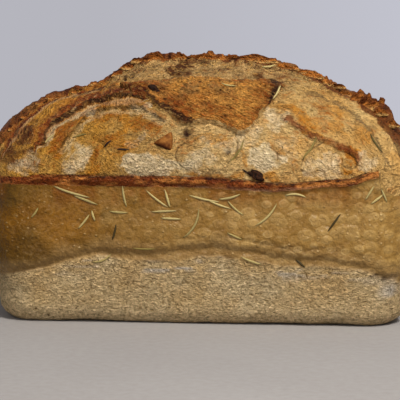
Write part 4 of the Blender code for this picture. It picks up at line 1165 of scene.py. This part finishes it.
def capped_faces(rings, around):
    """The faces of a tube of rings, whose two end points follow after the points of the rings."""
    first, last, top = rings * around, rings * around + 1, (rings - 1) * around
    faces = grid_faces(rings, around).tolist()
    faces += [[first, (k + 1) % around, k] for k in range(around)]
    faces += [[last, top + k, top + (k + 1) % around] for k in range(around)]
    return faces


def needle_pieces(tree, material):
    """All rosemary as one mesh: each needle a flattened, pointed tube along a bent line on the skin."""
    draw = np.random.RandomState(NEEDLE_SEED)
    places = [(*on_front(tree, x, z), *rest) for x, z, *rest in NEEDLES]
    places += hidden_needles(tree, draw)
    faces = capped_faces(NEEDLE_RINGS, NEEDLE_SIDES)
    nets, tones = [], []
    for point, facing, turn, length, bend, shade in places:
        path, normals = along_skin(tree, point, facing, turn, length, bend)
        nets.append((needle_points(path, normals, NEEDLE_RADIUS * draw.uniform(0.85, 1.1)), faces))
        tones.append(needle_tones(shade, draw.uniform(0.80, 1.08)))
    points, faces = joined(nets)
    return new_piece("rosemary_needles", points, faces, material, {"tone": np.concatenate(tones)})


def needle_points(path, normals, thickest):
    """The rings of one needle, and then its two end points.

    Ring t stands round point t of the path, with a radius that swells as sin(pi t) to a low power.
    """
    t = np.clip(np.linspace(0.0, 1.0, NEEDLE_RINGS), 0.01, 0.99)
    angle = np.linspace(0.0, 2 * math.pi, NEEDLE_SIDES, endpoint=False)
    wide, high = np.cos(angle)[None, :, None], np.sin(angle)[None, :, None]
    across = unit(np.cross(unit(np.gradient(path, axis=0)), normals))
    radius = thickest * np.sin(math.pi * t)[:, None] ** 0.45
    core = path + normals * (0.55 * radius + 0.0001)
    offset = across[:, None] * wide + NEEDLE_FLATNESS * normals[:, None] * high
    body = core[:, None] + offset * radius[:, None]
    return np.concatenate([body.reshape(-1, 3), core[:1], core[-1:]])


def needle_tones(shade, brightness):
    """Straw, olive or burnt by the shade, darker at both tips, and painted shade on the side that faces the
    skin.
    """
    straw, olive, burnt = tint(192, 172, 114), tint(136, 118, 60), tint(34, 18, 8)
    colour = straw + (olive - straw) * shade if shade <= 1.0 else olive + (burnt - olive) * (shade - 1.0)
    t = np.linspace(0.0, 1.0, NEEDLE_RINGS)
    angle = np.linspace(0.0, 2 * math.pi, NEEDLE_SIDES, endpoint=False)
    tip = np.repeat(smooth((np.abs(t - 0.5) - 0.36) / 0.14) * 0.35, NEEDLE_SIDES)
    # Painted shade on the side of each needle that faces the skin.
    upper = np.tile(0.60 + 0.40 * smooth(np.sin(angle) + 0.5), NEEDLE_RINGS)
    tone = colour * brightness * (upper * (1.0 - tip))[:, None]
    return np.concatenate([tone, tone[:1], tone[-1:]])


def on_front(tree, x, z):
    """The point and normal of the skin at (x, z) of the front elevation."""
    point, normal, _, _ = tree.ray_cast(Vector((x, -0.2, z)), Vector((0.0, 1.0, 0.0)))
    return point, normal


def along_skin(tree, point, normal, turn, length, bend):
    """Points and normals of a curve of that length on the skin, turned from level and bending as it goes."""
    level, steep = along_surface(normal)
    path, facings = [], []
    for t in np.linspace(-0.5, 0.5, NEEDLE_RINGS).tolist():
        angle = math.radians(turn) + bend * t
        flat = point + length * t * (math.cos(angle) * level + math.sin(angle) * steep)
        near, facing, _, _ = tree.find_nearest(flat)
        path.append(near)
        facings.append(facing)
    path, facings = np.array(path), np.array(facings)
    for _ in range(3):
        for run in (path, facings):
            run[1:-1] = 0.25 * run[:-2] + 0.5 * run[1:-1] + 0.25 * run[2:]
    return path, unit(facings)


def hidden_needles(tree, draw):
    """Seeded places for needles where the photographed side ends: the back, the ends and the top."""
    places = []
    while len(places) < BACK_NEEDLES:
        angle = draw.uniform(-0.15, math.pi + 0.15)
        start = Vector((0.3 * math.cos(angle), 0.3 * math.sin(angle), draw.uniform(0.045, 0.23)))
        aim = Vector((0.085 * math.cos(angle), 0.02 * math.sin(angle), draw.uniform(0.05, 0.10)))
        point, facing, _, _ = tree.ray_cast(start, (aim - start).normalized())
        turn, length, bend = draw.uniform(-90, 90), draw.uniform(0.008, 0.016), draw.uniform(-0.5, 0.5)
        if point is None or abs(point.x) >= 0.112:
            continue
        if all((point - other[0]).length > 0.012 for other in places):
            places.append((point, facing, turn, length, bend, draw.uniform(0.0, 1.2)))
    return places


def ball_net(rings, around):
    """A unit ball's points, and its faces with both poles closed."""
    up = np.linspace(-math.pi / 2, math.pi / 2, rings + 2)[1:-1, None]
    angle = np.linspace(0.0, 2 * math.pi, around, endpoint=False)[None, :]
    body = np.stack([np.cos(up) * np.cos(angle), np.cos(up) * np.sin(angle), np.sin(up) + 0 * angle], -1)
    points = np.concatenate([body.reshape(-1, 3), [(0.0, 0.0, -1.0), (0.0, 0.0, 1.0)]])
    return points, capped_faces(rings, around)


def garlic_piece(tree, material):
    """The wedge of garlic: a ball squared off, pointed on the left and thicker to the right."""
    point, facing = on_front(tree, *GARLIC_PLACE)
    facing = (facing + Vector(GARLIC_LEAN)).normalized()
    ball, faces = ball_net(26, 36)
    across, up, forth = ball.T
    across = np.where(across > 0.45, 0.45 + 0.25 * (across - 0.45), across)
    across = 1.265 * across + 0.265
    taper = 0.10 + 1.30 * np.clip((across + 1.0) / 2.0, 0.0, 1.0)
    up = np.sign(up) * np.abs(up) ** 0.8
    wedge = np.stack([across, up * taper + 0.15 * across, forth], -1)
    wedge *= np.array((GARLIC_WIDTH, GARLIC_HEIGHT, GARLIC_DEPTH)) / 2
    wedge *= 1.0 - 0.06 * np.abs(rough(*(ball.T * 0.5 + 3.0), 0.35, 5))[:, None]
    sunk = np.array(point) - np.array(facing) * GARLIC_DEPTH * 0.16
    points = sunk + wedge @ np.array([*along_surface(facing), facing])
    # underside: the share of painted shade on the lower side of the wedge.
    attributes = {"underside": smooth((-up - 0.35 - 0.3 * across) / 0.4)}
    return new_piece("garlic_piece", points, faces, material, attributes, ["garlic_wedge"])


def scorched_piece(tree, material):
    """The scorched bits as one mesh of rough, low stones half sunk in the skin."""
    nets = []
    for k, (x, z, length, width, turn) in enumerate(SCORCHED_BITS):
        point, facing = on_front(tree, x, z)
        level, steep = along_surface(facing)
        c, s = turned(turn)
        ball, faces = ball_net(14, 22)
        ball = ball * (1.0 + 0.40 * rough(*(ball.T + 5.0), 0.6, 40 + k, 3))[:, None]
        stone = ball * (length / 2, width / 2, SCORCHED_THICKNESS / 2)
        axes = np.array([c * level + s * steep, c * steep - s * level, facing])
        nets.append((np.array(point) + stone @ axes, faces))
    points, faces = joined(nets)
    return new_piece("scorched_bits", points, faces, material, {})


def flake_material():
    """Shards of crust: the tone of each vertex, with a crackled, toasted grain."""
    r = Recipe("shards")
    fine = r.grain((0.0014, 0.0014, 0.0012), 2.0, 0.65)
    grit = r.grain((0.0030, 0.0030, 0.0022), 3.0, 0.62, 0.6)
    light = 1.0 + 0.6 * fine + 0.6 * grit
    colour = r.shaded(r.vertex_colour("tone"), light, light, light)
    toasted = r.blend(1.0, colour, (0.50, 0.36, 0.26), "MULTIPLY")
    colour = r.blend((1.3 * (fine + grit) - 0.1).clipped(), colour, toasted)
    return r.finish(colour, 0.65, 0.7 * fine + 1.2 * grit, 0.0014, Specular_IOR_Level=0.12)


def flake_net(width, height, thickness, curl, seed):
    """A shard standing on its root: points around it at each height, its faces, and how high each point lies.

    u runs across from -1 to 1 and v up from -0.4 to 1. The outline is height times noise of u, and the
    thickness falls to nothing at the edges. The first and the last ring are closed straight across.
    """
    across, up = 17, 11
    u = np.linspace(-1.0, 1.0, across)
    u = np.concatenate([u, u[::-1]])[None, :]
    v = np.linspace(-0.4, 1.0, up)[:, None]
    raised = np.clip(v, 0.0, 1.0)
    side = np.where(np.arange(2 * across) < across, -1.0, 1.0)[None, :]
    top = height * (0.80 + 0.40 * rough(u + 7.0, 0 * u, 0 * u, 0.45, seed, 3)) * (1.0 - 0.45 * np.abs(u) ** 3)
    body = thickness * 0.5 * np.sqrt(np.clip(1.0 - u**4, 0.0, 1.0)) * (1.0 - 0.75 * raised)
    waves = 0.12 * height * rough(u * 2.0, v * 1.5, 0 * u * v, 0.7, seed + 9, 2)
    x = 0.5 * width * u * (1.0 - 0.12 * v)
    y = side * body + curl * height * raised**2 + waves
    points = np.stack(np.broadcast_arrays(x, y, v * top), -1).reshape(-1, 3)
    faces = grid_faces(up, 2 * across).tolist()
    last = (up - 1) * 2 * across
    for k in range(across - 1):
        facing = 2 * across - 1 - k
        faces.append([k, facing, facing - 1, k + 1])
        faces.append([last + k, last + k + 1, last + facing - 1, last + facing])
    return points, faces, np.broadcast_to(v, (up, 2 * across)).reshape(-1)


def rim_flakes():
    """Shards along the far rim of the tear: (place in plan, turn, lean, width, height, curl, darkness)."""
    draw = np.random.RandomState(FLAKE_SEED)
    rim_x, rim_y = through(RIM_LINE, 12).T
    flakes = []
    for x in np.arange(-0.104, 0.106, 0.0062):
        before, y, after = np.interp((x - 0.003, x, x + 0.003), rim_x, rim_y)
        slope = math.degrees(math.atan((after - before) / 0.006))
        size = 0.40 + 0.60 * smooth((x + 0.075) / 0.04)
        width = 0.0125 * draw.uniform(0.8, 1.25) * size
        height = 0.0036 * draw.uniform(0.7, 1.3) * size
        place = (x + draw.uniform(-0.001, 0.001), y - draw.uniform(0.0005, 0.0030))
        turn, lean = slope + draw.uniform(-14, 14), draw.uniform(-25, 15)
        flakes.append((place, turn, lean, width, height, draw.uniform(-0.4, 0.5), draw.uniform(0.0, 0.8)))
    for x, width, height in TALL_FLAKES:
        place = (x, np.interp(x, rim_x, rim_y) - 0.0035)
        flakes.append((place, 2, -12, width, height, -0.2, draw.uniform(0.5, 0.9)))
    return [*flakes, *CORNER_FLAKES]


def flakes_piece(tree, material, top):
    """All shards as one mesh, rooted in the skin and kept below this height."""
    nets, tones = [], []
    dark, mid, pale = tint(84, 36, 12), tint(184, 112, 44), tint(204, 156, 90)
    for seed, ((x, y), turn, lean, width, height, curl, darkness) in enumerate(rim_flakes()):
        root = tree.ray_cast(Vector((x, y, 0.2)), Vector((0.0, 0.0, -1.0)))[0]
        height = max(min(height, (top - root.z) / 1.15), 0.0008)
        shard, faces, share = flake_net(width, height, FLAKE_THICKNESS, curl, 200 + 7 * seed)
        (c, s), (c_lean, s_lean) = turned(turn), turned(lean)
        axes = np.array([(c, s, 0.0), (-s * c_lean, c * c_lean, -s_lean), (-s * s_lean, c * s_lean, c_lean)])
        placed = np.array(root) + shard @ axes
        placed[:, 2] = np.minimum(placed[:, 2], top - 0.00005)
        nets.append((placed, faces))
        noise = rough(*(shard.T + 0.05), 0.0022, 300 + seed, 2)
        tone = mix(np.broadcast_to(pale, shard.shape), mid, smooth(share / 0.35 + 0.4 * noise))
        tones.append(mix(tone, dark, darkness * smooth((share - 0.25 + 0.5 * noise) / 0.6)))
    points, faces = joined(nets)
    return new_piece("crust_shards", points, faces, material, {"tone": np.concatenate(tones)})


def loaf_piece(material, box):
    """The whole skin of the loaf, closed along the middle lines of its base and its dome."""
    x, y, z = plain_skin()
    s = survey(x, y, z)
    points = skin_points(s, x, y, z)
    points[0, :, 1] = 0.0
    points[-1, :, 1] = RIDGE_Y
    low, high = np.array(box)
    points = fitted(points, low, high - (0.0, 0.0, SHARD_ROOM))
    attributes = {"along": s["along"], "across": s["across"], **crust_tones(s), **crust_lines(s)}
    piece = new_piece("sourdough_loaf", points, grid_faces(*x.shape), material, attributes, ["loaf"])
    close_middle_lines(piece.data, *x.shape)
    return piece


def fitted(points, low, high):
    """The points moved and squeezed a little so that they fill the box between these corners exactly."""
    own_low, own_high = points.min((0, 1)), points.max((0, 1))
    return low + (points - own_low) * (high - low) / (own_high - own_low)


def close_middle_lines(mesh, rows, count):
    """Welds the front of the first and the last ring to the back, and fills the slivers that are left."""
    net = bmesh.new()
    net.from_mesh(mesh)
    middle_lines = [v for v in net.verts if v.index < count or v.index >= (rows - 1) * count]
    bmesh.ops.remove_doubles(net, verts=middle_lines, dist=2e-5)
    bmesh.ops.holes_fill(net, edges=[edge for edge in net.edges if edge.is_boundary], sides=0)
    for face in net.faces:
        face.smooth = True
    net.to_mesh(mesh)
    net.free()


def stage_material():
    """A pale, faintly clouded table that turns into a pale grey backdrop behind the loaf, glowing with
    painted light.
    """
    r = Recipe("pale_backdrop")
    across, away, _ = r.coordinates()
    cloud = r.noise((0.12, 0.12, 0.12), 3.0)
    grain = r.grain((0.004, 0.004, 0.004), 3.0, 0.6)
    table = r.painted(tint(152, 147, 144), ((164, 160, 157), (cloud + 0.5 * grain).clipped()))
    # Painted light: seen from the camera, the backdrop is painted lighter to the right
    sideways = ((across - 0.05) / (away + 1.0).at_least(0.2)).between(-0.11, 0.11)
    wall = r.painted(tint(181, 181, 189), ((196, 197, 208), sideways))
    black, behind = (0.0, 0.0, 0.0), away.between(0.15, 1.2)
    colour, glow = r.blend(behind, table, black), r.blend(behind, black, wall)
    emission = {"Emission_Color": glow, "Emission_Strength": 1.0}
    return r.finish(colour, 0.8, cloud * 0.02, Specular_IOR_Level=0.0, **emission)


def stage_pieces():
    """The table and the backdrop as one net, which runs flat to the back and then straight up."""
    x = np.linspace(-STAGE_REACH, STAGE_REACH, 5)[None, :]
    t = np.linspace(0.0, 2.0, 41)[:, None]
    depth = STAGE_REACH * np.clip(2.0 * t - 1.0, -1.0, 1.0)
    rise = STAGE_REACH * np.clip(t - 1.0, 0.0, 1.0)
    points = np.stack(np.broadcast_arrays(x, depth, rise), -1)
    index = np.arange(points.shape[0] * points.shape[1]).reshape(points.shape[:2])
    faces = np.stack([index[:-1, :-1], index[:-1, 1:], index[1:, 1:], index[1:, :-1]], -1).reshape(-1, 4)
    mesh = bpy.data.meshes.new("backdrop")
    mesh.from_pydata(points.reshape(-1, 3).tolist(), [], faces.tolist())
    mesh.materials.append(stage_material())
    mesh.shade_flat()
    floor = bpy.data.objects.new("backdrop", mesh)
    bpy.context.scene.collection.objects.link(floor)
    floor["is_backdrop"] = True


def soft_light(name, place, size, watts, colour):
    """A square lamp of this size at this place, aimed at the middle of the loaf."""
    lamp = bpy.data.lights.new(name, "AREA")
    lamp.energy, lamp.size, lamp.color = watts, size, colour
    holder = bpy.data.objects.new(name, lamp)
    holder.location = place
    holder.rotation_euler = (Vector(LIGHT_AIM) - Vector(place)).to_track_quat("-Z", "Y").to_euler()
    bpy.context.scene.collection.objects.link(holder)


def studio():
    """Soft light from the upper right and front, and an even pale sky."""
    world = bpy.data.worlds.new("studio")
    world.use_nodes = True
    sky = world.node_tree.nodes["Background"].inputs
    sky[0].default_value = (*SKY_COLOUR, 1.0)
    sky[1].default_value = SKY_STRENGTH
    bpy.context.scene.world = world
    for light in LIGHTS:
        soft_light(*light)


def camera():
    """The photograph's camera, rolled a little to one side."""
    eye = bpy.data.cameras.new("camera")
    eye.lens = LENS
    eye.sensor_width = 36.0
    eye.clip_end = 20.0
    holder = bpy.data.objects.new("camera", eye)
    (c_turn, s_turn), (c_rise, s_rise) = turned(CAMERA_TURN), turned(CAMERA_RISE)
    back = Vector((s_turn * c_rise, -c_turn * c_rise, s_rise))
    holder.location = Vector(AIM) + back * CAMERA_DISTANCE
    facing = (-back).to_track_quat("-Z", "Y").to_euler()
    facing.rotate_axis("Z", math.radians(CAMERA_ROLL))
    holder.rotation_euler = facing
    bpy.context.scene.collection.objects.link(holder)
    bpy.context.scene.camera = holder


def corners(box):
    """Both corners of a box as plain lists."""
    return [[float(v) for v in corner] for corner in box]


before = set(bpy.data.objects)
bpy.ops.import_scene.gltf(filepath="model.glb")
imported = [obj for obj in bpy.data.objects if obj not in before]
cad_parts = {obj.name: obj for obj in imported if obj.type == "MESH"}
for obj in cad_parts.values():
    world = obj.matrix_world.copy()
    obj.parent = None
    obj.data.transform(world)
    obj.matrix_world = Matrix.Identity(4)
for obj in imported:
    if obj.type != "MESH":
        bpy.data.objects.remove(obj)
sizes = {"cad": corners(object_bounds())}
loaf = loaf_piece(crust_material(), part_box("loaf"))
loaf_faces = [tuple(face.vertices) for face in loaf.data.polygons]
skin_tree = BVHTree.FromPolygons([v.co for v in loaf.data.vertices], loaf_faces)
needle_pieces(skin_tree, rosemary_material())
garlic_piece(skin_tree, garlic_material())
flakes_piece(skin_tree, flake_material(), sizes["cad"][1][2])
scorched_piece(skin_tree, cinder_material())
stage_pieces()
studio()
camera()
bpy.context.scene.view_settings.view_transform = "Standard"
sizes["visual"] = corners(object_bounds())
